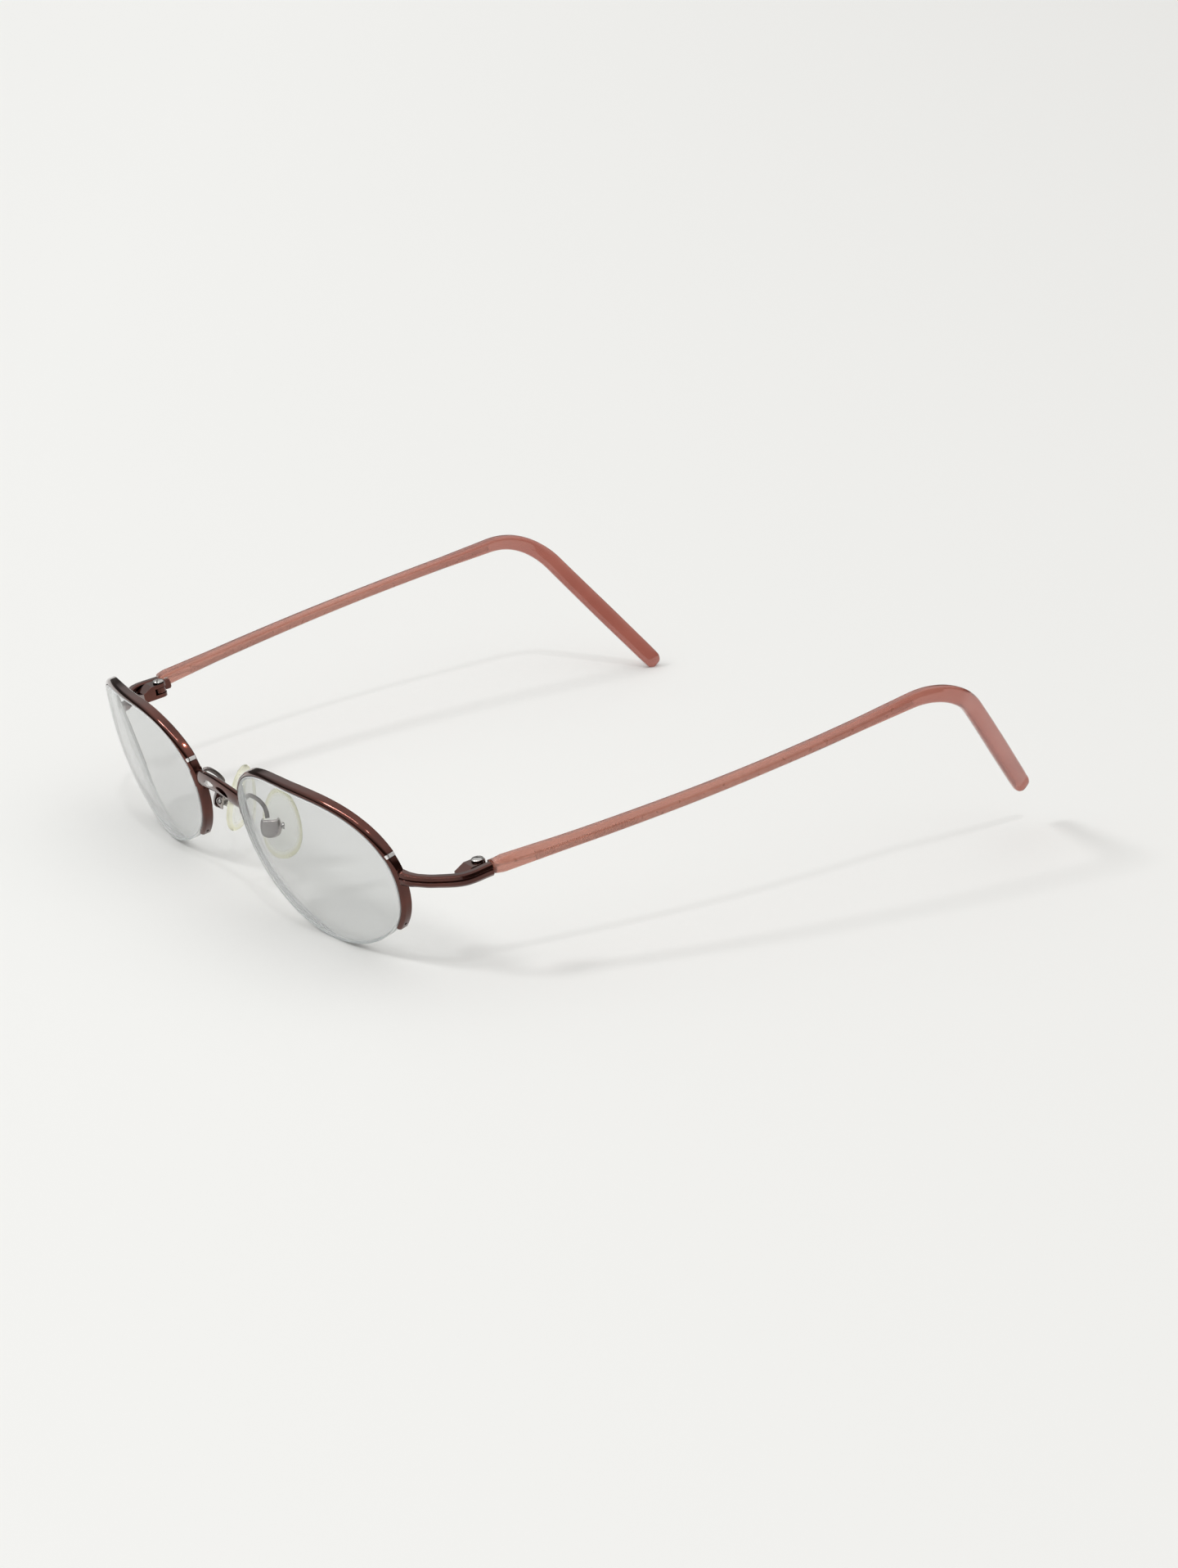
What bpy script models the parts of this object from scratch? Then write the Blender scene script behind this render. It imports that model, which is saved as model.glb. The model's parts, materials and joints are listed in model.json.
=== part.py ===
# Semi-rimless eyeglasses: metal half-rims that hold grooved lenses with a nylon line,
# a sculpted bridge, rocking nose pads, three-leaf hinges and wire-core plastic temples.
# Metres, +Z up. +X is the wearer's left, the front faces -Y and the glasses stand on
# their lens bottoms and on the right temple's tip, as a pair left open on a table does.

import math

import bmesh
import bpy
import numpy as np
from mathutils import Vector

for old in list(bpy.data.objects):
    bpy.data.objects.remove(old, do_unlink=True)

# Seams and running fits
SEAM = 0.00015
RUN_GAP = 0.00012
BUTT_GAP = 0.0003

# Lenses, seen along the lens axis
LENS_WIDTH = 0.0481
LENS_HEIGHT = 0.0311
LENS_THICKNESS = 0.0018
LENS_FRONT_RADIUS = 0.0697
LENS_SQUARENESS = 2.2
OUTER_FULLNESS = 0.008
TOP_FULLNESS = 0.035
BROW_FLATNESS = 0.028
OUTER_DROP = 0.021
GROOVE_SETBACK = 0.00105
GROOVE_WIDTH = 0.00075
GROOVE_DEPTH = 0.0006
DISTANCE_BETWEEN_LENSES = 0.0207
WRAP = math.radians(6.9)
FRONT_TILT = math.radians(14.6)

# Half-rims: a slim leg on either side of a taller bevelled brow
RIM_BACK = 0.0021
LEG_SETBACK = 0.00025
LEG_HEIGHT = 0.00095
LEG_BEVEL = 0.0004
BROW_SETBACK = 0.00005
BROW_HEIGHT = 0.00108
BROW_BEVEL = 0.0006
RIM_CHAMFER = 0.00025
CHANNEL_DEPTH = 0.0005
RIM_OUTER_END = math.radians(-30.5)
BROW_OUTER_END = math.radians(26.1)
BROW_NOSE_END = math.radians(151.5)
RIM_NOSE_END = math.radians(216.5)
BROW_STEP = math.radians(3.0)

# Nylon parts
LINER_WIDTH = 0.0009
LINER_RIDGE = 0.0004
LINE_DIAMETER = 0.00045
LINE_HOLE_INSET = 0.0013

# Bridge between the rims
BRIDGE_RISE = 0.0010
BRIDGE_WAIST = 0.0029
BRIDGE_FOOT = 0.0034
BRIDGE_DEPTH = 0.0017
BRIDGE_FORWARD = 0.0006
BRIDGE_SLOPE = math.radians(29.0)
BRIDGE_PLACE = math.radians(165.5)
WINDOW_LENGTH = 0.0042
WINDOW_HEIGHT = 0.0011
WINDOW_LOWERING = 0.0006
WINDOW_TOE_IN = math.radians(48.0)

# Nose pads and what carries them
PAD_PIVOT = np.array((0.0097, 0.0096, 0.0144))
PAD_SPLAY = math.radians(28.0)
PAD_FLARE = math.radians(12.0)
PAD_HEIGHT = 0.0140
PAD_WIDTH = 0.0074
PAD_THICKNESS = 0.0018
PAD_BACKSET = 0.0019
PAD_RAISE = 0.0003
PAD_TAPER = 0.20
PAD_LUG_WIDTH = 0.0022
PAD_LUG_HEIGHT = 0.0019
PAD_STANDOFF = 0.00135
BOX_HEIGHT = 0.0038
BOX_DEPTH = 0.0024
BOX_CHEEK = 0.0008
BOX_FRONT = 0.0007
BOX_CHAMFER = 0.0007
BOX_TOP = 0.0016
BOX_SHOULDER = 0.20
PAD_SCREW_DIAMETER = 0.0008
PAD_SCREW_HEAD = 0.0014
PAD_SCREW_HEAD_HEIGHT = 0.0004
ARM_DIAMETER = 0.00095
ARM_PLACE = math.radians(165.3)
ARM_SPRING = 0.0010
ARM_LOOP_OUT = 0.0088
ARM_LOOP_BACK = 0.0084
ARM_LOOP_RADIUS = 0.0010

# Hinges: axis, three leaves and the screw through them
HINGE_X = 0.0646
HINGE_Y = 0.0227
HINGE_Z = 0.0196
LEAF_THICKNESS = 0.0008
TONGUE_THICKNESS = 0.0011
BARREL_RADIUS = 0.0014
HINGE_SCREW_DIAMETER = 0.0010
HINGE_SCREW_HEAD = 0.0023
HINGE_SCREW_HEAD_HEIGHT = 0.0005
LEAF_REACH = 0.0042
TAIL_LENGTH = 0.0029
TAIL_THICKNESS = 0.0010
TAIL_HEIGHT = 0.0019
TAIL_DROP = 0.00055

# Endpieces, from the rim round to the hinge
ENDPIECE_THICKNESS = 0.0018
ENDPIECE_ROOT_HEIGHT = 0.0027
ENDPIECE_NECK_HEIGHT = 0.0021
ENDPIECE_END_HEIGHT = 0.0024
ENDPIECE_END = 0.00105
ENDPIECE_DROP = 0.0003
ENDPIECE_PLACE = math.radians(10.0)

# Plan of an endpiece's sweep: how far out and how far back from its root
ENDPIECE_SWEEP = ((0.0016, 0.0005), (0.0034, 0.0018), (0.0052, 0.0038))

# Temples: side view is a straight bar, a bend and a drop to the tip
TEMPLE_SET_OUT = 0.0028
TEMPLE_SET_UP = 0.0007
TEMPLE_BAR_LENGTH = 0.0958
TEMPLE_BAR_SAG = 0.0002
TEMPLE_PITCH = math.radians(7.2)
TEMPLE_DROP_ANGLE = math.radians(51.8)
TEMPLE_DROP_LENGTH = 0.0408
TEMPLE_BEND_RADIUS = 0.0168
LEFT_TEMPLE_LIFT = math.radians(3.55)
CORE_DIAMETER = 0.00105
CORE_FOOT = 0.00115
CORE_BEND = 0.0009
CORE_INSET = 0.0001
CORE_LENGTH = 0.086
TIP_ROUNDING = 0.0018
TIP_END = 0.45

# Plan of a temple: how far back from its front face, and how far out it has bowed there
TEMPLE_PLAN = (
    (0.0, 0.0),
    (0.0219, 0.0045),
    (0.0425, 0.0077),
    (0.0631, 0.0095),
    (0.0837, 0.0102),
    (0.0938, 0.0104),
    (0.1002, 0.0085),
    (0.1159, -0.0023),
)

# Sections of a temple along its length: share of the length, height and width
TEMPLE_SECTIONS = (
    (0.0, 0.0026, 0.0020),
    (0.013, 0.0032, 0.0024),
    (0.03, 0.0031, 0.0024),
    (0.10, 0.0027, 0.0024),
    (0.40, 0.0024, 0.0022),
    (0.55, 0.0025, 0.0022),
    (0.66, 0.0031, 0.0022),
    (0.76, 0.0037, 0.0021),
    (0.88, 0.0039, 0.0020),
    (0.97, 0.0038, 0.0019),
    (1.0, 0.0036, 0.0018),
)

# How finely round shapes are divided
OUTLINE_STEPS = 52
RIM_STEPS = 46
LINE_STEPS = 27
BRIDGE_STEPS = 21
TUBE_SIDES = 10
BARREL_STEPS = 20
TEMPLE_SIDES = 12
TEMPLE_SQUARENESS = 3.0

LEFT = 1
RIGHT = -1
SIDES = (("left", LEFT), ("right", RIGHT))


def material(name, color, roughness, metallic, alpha=1.0, transmission=0.0):
    """A plain Principled finish in the part's own colour."""
    finish = bpy.data.materials.new(name)
    finish.use_nodes = True
    shader = finish.node_tree.nodes["Principled BSDF"]
    shader.inputs["Base Color"].default_value = (*color, 1.0)
    shader.inputs["Roughness"].default_value = roughness
    shader.inputs["Metallic"].default_value = metallic
    shader.inputs["Alpha"].default_value = alpha
    shader.inputs["Transmission Weight"].default_value = transmission
    return finish


PLATED_METAL = material("plated_metal", (0.13, 0.045, 0.035), 0.22, 1.0)
GUNMETAL = material("gunmetal", (0.20, 0.18, 0.17), 0.28, 1.0)
SILVER_SCREW = material("silver_screw", (0.62, 0.61, 0.59), 0.25, 1.0)
LENS_CLEAR = material("lens_clear", (0.80, 0.83, 0.83), 0.03, 0.0, 0.35, 0.9)
NYLON = material("nylon", (0.55, 0.56, 0.56), 0.35, 0.0)
PAD_SILICONE = material("pad_silicone", (0.86, 0.86, 0.68), 0.25, 0.0, 0.6, 0.6)
ROSE_ACETATE = material("rose_acetate", (0.42, 0.13, 0.10), 0.15, 0.0)
CORE_WIRE = material("core_wire", (0.50, 0.40, 0.36), 0.35, 1.0)


def finish_mesh(name, shape, finish, pivot=(0.0, 0.0, 0.0)):
    """Turns a bmesh into a named object whose origin is the pivot, with outward faces."""
    bmesh.ops.recalc_face_normals(shape, faces=shape.faces)
    bmesh.ops.translate(shape, verts=shape.verts, vec=-Vector(pivot))
    mesh = bpy.data.meshes.new(name)
    shape.to_mesh(mesh)
    shape.free()
    mesh.materials.append(finish)
    mesh.shade_smooth()
    mesh.set_sharp_from_angle(angle=math.radians(30.0))
    thing = bpy.data.objects.new(name, mesh)
    thing.location = pivot
    bpy.context.scene.collection.objects.link(thing)
    return thing


def loft(rings, poles=None):
    """A closed skin over a row of rings: flat caps at the ends, or fans to two pole points."""
    shape = bmesh.new()
    rows = [[shape.verts.new(Vector(point)) for point in ring] for ring in rings]
    count = len(rows[0])
    for near, far in zip(rows, rows[1:]):
        for k in range(count):
            after = (k + 1) % count
            shape.faces.new((near[k], near[after], far[after], far[k]))
    if poles is None:
        shape.faces.new(rows[0])
        shape.faces.new(rows[-1])
        return shape
    for row, point in zip((rows[0], rows[-1]), poles):
        tip = shape.verts.new(Vector(point))
        for k in range(count):
            shape.faces.new((row[k], row[(k + 1) % count], tip))
    return shape


def cutter(name, shape):
    """A hidden tool shape for a cut or a union."""
    tool = finish_mesh(name, shape, GUNMETAL)
    tool.hide_render = True
    tool.display_type = "WIRE"
    return tool


def apply_tool(thing, tool, operation="DIFFERENCE"):
    """Cuts a tool out of an object, or joins it on, and leaves the modifier in place."""
    step = thing.modifiers.new(tool.name, "BOOLEAN")
    step.operation = operation
    step.solver = "EXACT"
    step.object = tool


def wire(name, points, diameter, finish, resolution=2):
    """A round wire along a row of points, with filled ends."""
    curve = bpy.data.curves.new(name, "CURVE")
    curve.dimensions = "3D"
    curve.bevel_depth = diameter / 2
    curve.bevel_resolution = resolution
    curve.use_fill_caps = True
    spline = curve.splines.new("POLY")
    spline.points.add(len(points) - 1)
    for slot, point in zip(spline.points, points):
        slot.co = (*point, 1.0)
    curve.materials.append(finish)
    thing = bpy.data.objects.new(name, curve)
    bpy.context.scene.collection.objects.link(thing)
    return thing


def mirrored(point, side):
    """The same point on the left or the right half."""
    return np.array((side * point[0], point[1], point[2]))


def smooth_path(knots, steps):
    """Points on a Catmull-Rom curve through the knots, evenly many between each pair."""
    knots = [np.asarray(k, float) for k in knots]
    padded = [2 * knots[0] - knots[1], *knots, 2 * knots[-1] - knots[-2]]
    path = []
    for a, b, c, d in zip(padded, padded[1:], padded[2:], padded[3:]):
        for step in range(steps):
            t = step / steps
            path.append(
                0.5 * (2 * b + (c - a) * t + (2 * a - 5 * b + 4 * c - d) * t**2
                       + (3 * b - a - 3 * c + d) * t**3)
            )
    path.append(knots[-1])
    return path


# Lens geometry: everything on the front is placed round the lens outline

def outline(angle):
    """A point of the lens outline, x towards the temple and y up."""
    half_width = LENS_WIDTH / 2
    half_height = LENS_HEIGHT / 2
    polar = math.atan2(half_height * math.sin(angle), half_width * math.cos(angle))
    across = abs(math.cos(polar)) / half_width
    upward = abs(math.sin(polar)) / half_height
    radius = (across**LENS_SQUARENESS + upward**LENS_SQUARENESS) ** (-1 / LENS_SQUARENESS)
    radius *= (1 + OUTER_FULLNESS * math.cos(polar) + TOP_FULLNESS * math.sin(polar)
               - OUTER_DROP * math.sin(2 * polar) + BROW_FLATNESS * math.sin(3 * polar))
    return np.array((radius * math.cos(polar), radius * math.sin(polar)))


def outward(angle):
    """The outline's outward direction in the lens plane."""
    small = 1e-4
    run = outline(angle + small) - outline(angle - small)
    return np.array((run[1], -run[0])) / np.hypot(*run)


ACROSS = np.array((math.cos(WRAP), math.sin(WRAP), 0.0))
UPWARD = np.array((0.0, -math.sin(FRONT_TILT), math.cos(FRONT_TILT)))
UPWARD -= ACROSS * (UPWARD @ ACROSS)
UPWARD /= np.linalg.norm(UPWARD)
BACKWARD = np.cross(UPWARD, ACROSS)
NOSE_EDGE = outline(math.pi)[0]


def place_flat(x, y, depth):
    """A lens-plane point in space, before the lens is stood on the ground."""
    from_nose = x - NOSE_EDGE
    sag = ((from_nose - LENS_WIDTH / 2) ** 2 + y**2) / (2 * LENS_FRONT_RADIUS)
    nose = np.array((DISTANCE_BETWEEN_LENSES / 2, 0.0, 0.0))
    return nose + from_nose * ACROSS + y * UPWARD + (sag + depth) * BACKWARD


ROUND = [2 * math.pi * k / OUTLINE_STEPS for k in range(OUTLINE_STEPS)]
LENS_CENTRE_HEIGHT = -min(place_flat(*outline(a), 0.0)[2] for a in ROUND)


def place(x, y, depth):
    """A lens-plane point in space, with the lens bottom on the ground."""
    return place_flat(x, y, depth) + np.array((0.0, 0.0, LENS_CENTRE_HEIGHT))


def on_rim(angle, out, depth):
    """A point round the lens: how far outside its edge, and how far behind its front."""
    x, y = outline(angle) + out * outward(angle)
    return place(x, y, depth)


def sweep(name, angles, profiles, side, finish):
    """A bar swept round the lens, with a profile of (out, depth) points at each angle."""
    rings = [
        [mirrored(on_rim(angle, out, depth), side) for out, depth in profile]
        for angle, profile in zip(angles, profiles)
    ]
    return finish_mesh(name, loft(rings), finish)


def make_lens(word, side):
    """A curved lens of even thickness, with the retaining groove cut round its edge."""
    low = GROOVE_SETBACK - GROOVE_WIDTH / 2
    high = GROOVE_SETBACK + GROOVE_WIDTH / 2
    edge = ((0.0, 0.0), (0.0, low), (-GROOVE_DEPTH, low), (-GROOVE_DEPTH, high),
            (0.0, high), (0.0, LENS_THICKNESS))
    inner = (0.35, 0.7)
    rings = [[place(*(share * outline(a)), 0.0) for a in ROUND] for share in inner]
    rings += [[on_rim(a, out, depth) for a in ROUND] for out, depth in edge]
    rings += [[place(*(share * outline(a)), LENS_THICKNESS) for a in ROUND]
              for share in reversed(inner)]
    rings = [[mirrored(point, side) for point in ring] for ring in rings]
    poles = [mirrored(place(0.0, 0.0, depth), side) for depth in (0.0, LENS_THICKNESS)]
    return finish_mesh(f"lens_{word}", loft(rings, poles), LENS_CLEAR)


def rim_profile(front, height, bevel):
    """Half-rim section with the liner channel on the lens side, bevelled at the front."""
    back = RIM_BACK
    channel = LINER_WIDTH / 2 + SEAM
    return (
        (SEAM, GROOVE_SETBACK - channel),
        (SEAM + CHANNEL_DEPTH, GROOVE_SETBACK - channel),
        (SEAM + CHANNEL_DEPTH, GROOVE_SETBACK + channel),
        (SEAM, GROOVE_SETBACK + channel),
        (SEAM, back),
        (height - RIM_CHAMFER, back),
        (height, back - RIM_CHAMFER),
        (height, front + bevel),
        (height - bevel, front),
        (SEAM, front),
    )


LEG = rim_profile(LEG_SETBACK, LEG_HEIGHT, LEG_BEVEL)
BROW = rim_profile(BROW_SETBACK, BROW_HEIGHT, BROW_BEVEL)


def arc_angle(start, distance):
    """The outline angle that lies a given distance along the outline from a start angle."""
    heading = 1.0 if distance > 0 else -1.0
    step = math.radians(0.25) * heading
    angle = start
    gone = 0.0
    while gone < abs(distance):
        gone += np.hypot(*(outline(angle + step) - outline(angle)))
        angle += step
    return angle


OUTER_HOLE = arc_angle(RIM_OUTER_END, LINE_HOLE_INSET)
NOSE_HOLE = arc_angle(RIM_NOSE_END, -LINE_HOLE_INSET)


def make_rim(word, side):
    """The half-rim: leg, step up to the brow, step down, leg, and a line hole in each end."""
    marks = np.linspace(RIM_OUTER_END, RIM_NOSE_END, RIM_STEPS)
    plain = [(a, LEG) for a in marks if a < BROW_OUTER_END - 2 * BROW_STEP]
    plain += [(BROW_OUTER_END - BROW_STEP, LEG), (BROW_OUTER_END, BROW)]
    plain += [(a, BROW) for a in marks
              if BROW_OUTER_END + BROW_STEP < a < BROW_NOSE_END - BROW_STEP]
    plain += [(BROW_NOSE_END, BROW), (BROW_NOSE_END + BROW_STEP, LEG)]
    plain += [(a, LEG) for a in marks if a > BROW_NOSE_END + 2 * BROW_STEP]
    rim = sweep(f"rim_{word}", [a for a, _ in plain], [p for _, p in plain], side, PLATED_METAL)
    for end, angle in (("outer", OUTER_HOLE), ("nose", NOSE_HOLE)):
        start = mirrored(on_rim(angle, -LEG_HEIGHT, GROOVE_SETBACK), side)
        stop = mirrored(on_rim(angle, 2 * LEG_HEIGHT, GROOVE_SETBACK), side)
        hole = round_bar(start, stop, LINE_DIAMETER / 2 + RUN_GAP, TUBE_SIDES)
        apply_tool(rim, cutter(f"line_hole_{end}_{word}", hole))
    return rim


def frame_of(direction):
    """Two directions square to the given one."""
    direction = np.asarray(direction, float) / np.linalg.norm(direction)
    helper = np.array((1.0, 0.0, 0.0))
    if abs(direction @ helper) > 0.8:
        helper = np.array((0.0, 0.0, 1.0))
    first = np.cross(direction, helper)
    first /= np.linalg.norm(first)
    return first, np.cross(direction, first)


def circle(centre, direction, radius, sides):
    """A ring of points round a centre, square to a direction."""
    first, second = frame_of(direction)
    return [
        np.asarray(centre) + radius * (math.cos(t) * first + math.sin(t) * second)
        for t in (2 * math.pi * k / sides for k in range(sides))
    ]


def round_bar(start, stop, radius, sides):
    """A straight round bar between two points."""
    run = np.asarray(stop) - np.asarray(start)
    return loft([circle(start, run, radius, sides), circle(stop, run, radius, sides)])


def make_liner(word, side):
    """The nylon strip in the rim's channel, whose ridge seats in the lens groove."""
    clear = math.radians(4.0)
    inner = SEAM + SEAM
    outer = SEAM + CHANNEL_DEPTH - SEAM
    half_head = LINER_WIDTH / 2
    half_ridge = LINER_RIDGE / 2
    tip = SEAM - GROOVE_DEPTH
    section = [(tip, half_ridge), (inner, half_ridge), (inner, half_head), (outer, half_head)]
    profile = [(out, GROOVE_SETBACK - across) for out, across in section]
    profile += [(out, GROOVE_SETBACK + across) for out, across in reversed(section)]
    angles = np.linspace(OUTER_HOLE + clear, NOSE_HOLE - clear, RIM_STEPS - 8)
    return sweep(f"rim_liner_{word}", angles, [profile] * len(angles), side, NYLON)


def make_line(word, side):
    """The nylon line under the lens. Each end turns out through the rim's end hole."""
    seat = SEAM / 2 + LINE_DIAMETER / 2 - GROOVE_DEPTH
    turn = LINE_DIAMETER
    top = LEG_HEIGHT - SEAM
    full = 2 * math.pi
    begin = arc_angle(NOSE_HOLE, turn)
    finish = arc_angle(OUTER_HOLE, -turn) + full
    path = [on_rim(NOSE_HOLE, top, GROOVE_SETBACK), on_rim(NOSE_HOLE, seat + turn, GROOVE_SETBACK)]
    path.append(on_rim(arc_angle(NOSE_HOLE, turn * 0.29), seat + turn * 0.29, GROOVE_SETBACK))
    path += [on_rim(a, seat, GROOVE_SETBACK) for a in np.linspace(begin, finish, LINE_STEPS)]
    path.append(on_rim(arc_angle(OUTER_HOLE, -turn * 0.29), seat + turn * 0.29, GROOVE_SETBACK))
    path += [on_rim(OUTER_HOLE, seat + turn, GROOVE_SETBACK), on_rim(OUTER_HOLE, top, GROOVE_SETBACK)]
    return wire(f"nylon_line_{word}", [mirrored(p, side) for p in path], LINE_DIAMETER, NYLON)


def superellipse(angle, half_a, half_b, power):
    """A point of a squarish oval."""
    c, s = math.cos(angle), math.sin(angle)
    return (math.copysign(abs(c) ** (2 / power), c) * half_a,
            math.copysign(abs(s) ** (2 / power), s) * half_b)


def rim_face(angles, out, depth):
    """Heights, x and y positions of the rim's outer side over a stretch of the outline."""
    points = sorted((tuple(on_rim(a, out, depth)) for a in angles), key=lambda p: p[2])
    return [p[2] for p in points], [p[0] for p in points], [p[1] for p in points]


NOSE_SIDE = np.linspace(math.radians(158.0), math.radians(205.0), 40)
TEMPLE_SIDE = np.linspace(math.radians(-26.0), math.radians(21.0), 40)
LEAN = BACKWARD[0] / BACKWARD[1]
BRIDGE_ROOT = on_rim(BRIDGE_PLACE, LEG_HEIGHT, GROOVE_SETBACK)


def flare(s):
    """How far the bridge has spread from its waist, at 0, to its feet, at -1 and 1."""
    return abs(s) ** 1.8


def bridge_line(s):
    """Depth and height of the bridge's centreline, from foot to foot."""
    return (BRIDGE_ROOT[1] - BRIDGE_FORWARD * (1 - s * s),
            BRIDGE_ROOT[2] + BRIDGE_RISE * (1 - flare(s)))


def make_bridge():
    """The sculpted bridge: a slim waist whose feet fork onto the rims round two windows."""
    heights, reach, backs = rim_face(NOSE_SIDE, LEG_HEIGHT + SEAM, GROOVE_SETBACK)
    slope = math.tan(BRIDGE_SLOPE)
    rings = []
    for s in np.linspace(-1.0, 1.0, BRIDGE_STEPS):
        height = BRIDGE_WAIST + (BRIDGE_FOOT - BRIDGE_WAIST) * flare(s)
        middle_y, middle_z = bridge_line(s)
        ring = []
        for k in range(14):
            y, z = superellipse(2 * math.pi * (k + 0.5) / 14, BRIDGE_DEPTH / 2, height / 2, 2.6)
            z -= slope * y
            half_gap = np.interp(middle_z + z, heights, reach)
            lean = LEAN * (middle_y + y - np.interp(middle_z + z, heights, backs))
            ring.append((s * (half_gap + lean), middle_y + y, middle_z + z))
        rings.append(ring)
    bridge = finish_mesh("bridge", loft(rings), PLATED_METAL)
    for word, side in SIDES:
        apply_tool(bridge, cutter(f"bridge_window_{word}", window_tool(side)))
    return bridge


def window_tool(side):
    """A drop-shaped tool that pierces one foot of the bridge, toed in towards the nose."""
    through = np.array((
        math.sin(WINDOW_TOE_IN),
        math.cos(WINDOW_TOE_IN) * math.cos(BRIDGE_SLOPE),
        -math.cos(WINDOW_TOE_IN) * math.sin(BRIDGE_SLOPE),
    ))
    square = np.array((0.0, math.sin(BRIDGE_SLOPE), math.cos(BRIDGE_SLOPE)))
    ring = []
    for k in range(14):
        a, b = superellipse(2 * math.pi * k / 14, WINDOW_LENGTH / 2, WINDOW_HEIGHT / 2, 2.0)
        swell = 1 + 0.35 * a / (WINDOW_LENGTH / 2)
        x = BRIDGE_ROOT[0] - 0.62 * WINDOW_LENGTH + a
        y, z = bridge_line(x / BRIDGE_ROOT[0])
        ring.append(np.array((x, y, z - WINDOW_LOWERING)) + b * swell * square)
    reach = 2 * BRIDGE_DEPTH
    return loft([
        [mirrored(point + way * reach * through, side) for point in ring] for way in (-1, 1)
    ])


# Nose pad frame: towards the nose, backwards along the pad, and up the pad
PAD_IN = np.array((
    -math.cos(PAD_SPLAY) * math.cos(PAD_FLARE),
    math.sin(PAD_SPLAY) * math.cos(PAD_FLARE),
    -math.sin(PAD_FLARE),
))
PAD_BACK = np.array((math.sin(PAD_SPLAY), math.cos(PAD_SPLAY), 0.0))
PAD_UP = np.cross(PAD_BACK, PAD_IN)
BOX_WIDTH = PAD_LUG_WIDTH + 2 * (RUN_GAP + BOX_CHEEK)
LUG_ROUND = PAD_LUG_HEIGHT / 2
WEB = BOX_DEPTH - BOX_FRONT - LUG_ROUND - 2 * RUN_GAP


def at_pad(inward, back, up):
    """A point in the nose pad's frame, from the pad's rocking axis."""
    return PAD_PIVOT + inward * PAD_IN + back * PAD_BACK + up * PAD_UP


def pad_block(outline_points, low, high, side):
    """A plate outlined in (inward, up) and running back from low to high."""
    return loft([
        [mirrored(at_pad(inward, back, up), side) for inward, up in outline_points]
        for back in (low, high)
    ])


def bowl(share):
    """The pad box seen from the side of the glasses: a flat top over a rounded bowl."""
    half = BOX_WIDTH / 2
    middle = BOX_TOP - BOX_HEIGHT / 2
    depth = BOX_HEIGHT / 2
    shoulder = [(half * (1 - BOX_SHOULDER * u**3), middle + u * depth) for u in (1.0, 0.8, 0.4)]
    points = [(-back, up) for back, up in reversed(shoulder)] + shoulder
    for t in np.linspace(0.0, math.pi, 11):
        back, up = superellipse(-t, half, depth, 2.3)
        points.append((back, middle + up))
    return [(share * back, share * up) for back, up in points]


def make_pad_box(word, side):
    """The little cup on the pad arm's end: two cheeks and a web round the pad's lug."""
    rear = BOX_FRONT - BOX_DEPTH
    levels = ((rear, 0.74), (rear + 0.4 * BOX_CHAMFER, 0.92), (rear + BOX_CHAMFER, 1.0),
              (BOX_FRONT, 1.0))
    shape = loft([
        [mirrored(at_pad(inward, back, up), side) for back, up in bowl(share)]
        for inward, share in levels
    ])
    box = finish_mesh(f"pad_box_{word}", shape, GUNMETAL)
    slot_half = PAD_LUG_WIDTH / 2 + RUN_GAP
    tall = BOX_HEIGHT
    mouth = ((rear + WEB, -tall), (rear + WEB, tall), (BOX_DEPTH, tall), (BOX_DEPTH, -tall))
    apply_tool(box, cutter(f"pad_slot_{word}", pad_block(mouth, -slot_half, slot_half, side)))
    apply_tool(box, pad_bore(f"box_bore_{word}", side, BOX_WIDTH))
    return box


def pad_bore(name, side, reach):
    """A tool for the screw hole along the rocking axis."""
    ends = [mirrored(at_pad(0.0, back, 0.0), side) for back in (-reach, reach)]
    return cutter(name, round_bar(*ends, PAD_SCREW_DIAMETER / 2 + RUN_GAP, 12))


def make_pad_screw(word, side):
    """The pad screw: a shank through both cheeks and the lug, with a cheese head behind."""
    half = BOX_WIDTH / 2
    profile = (
        (-half, PAD_SCREW_DIAMETER / 2),
        (half + RUN_GAP, PAD_SCREW_DIAMETER / 2),
        (half + RUN_GAP, PAD_SCREW_HEAD / 2),
        (half + RUN_GAP + PAD_SCREW_HEAD_HEIGHT, PAD_SCREW_HEAD / 2 - RUN_GAP),
    )
    rings = [
        circle(mirrored(at_pad(0.0, back, 0.0), side), mirrored(PAD_BACK, side), radius, 12)
        for back, radius in profile
    ]
    return finish_mesh(f"pad_screw_{word}", loft(rings), SILVER_SCREW)


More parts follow.
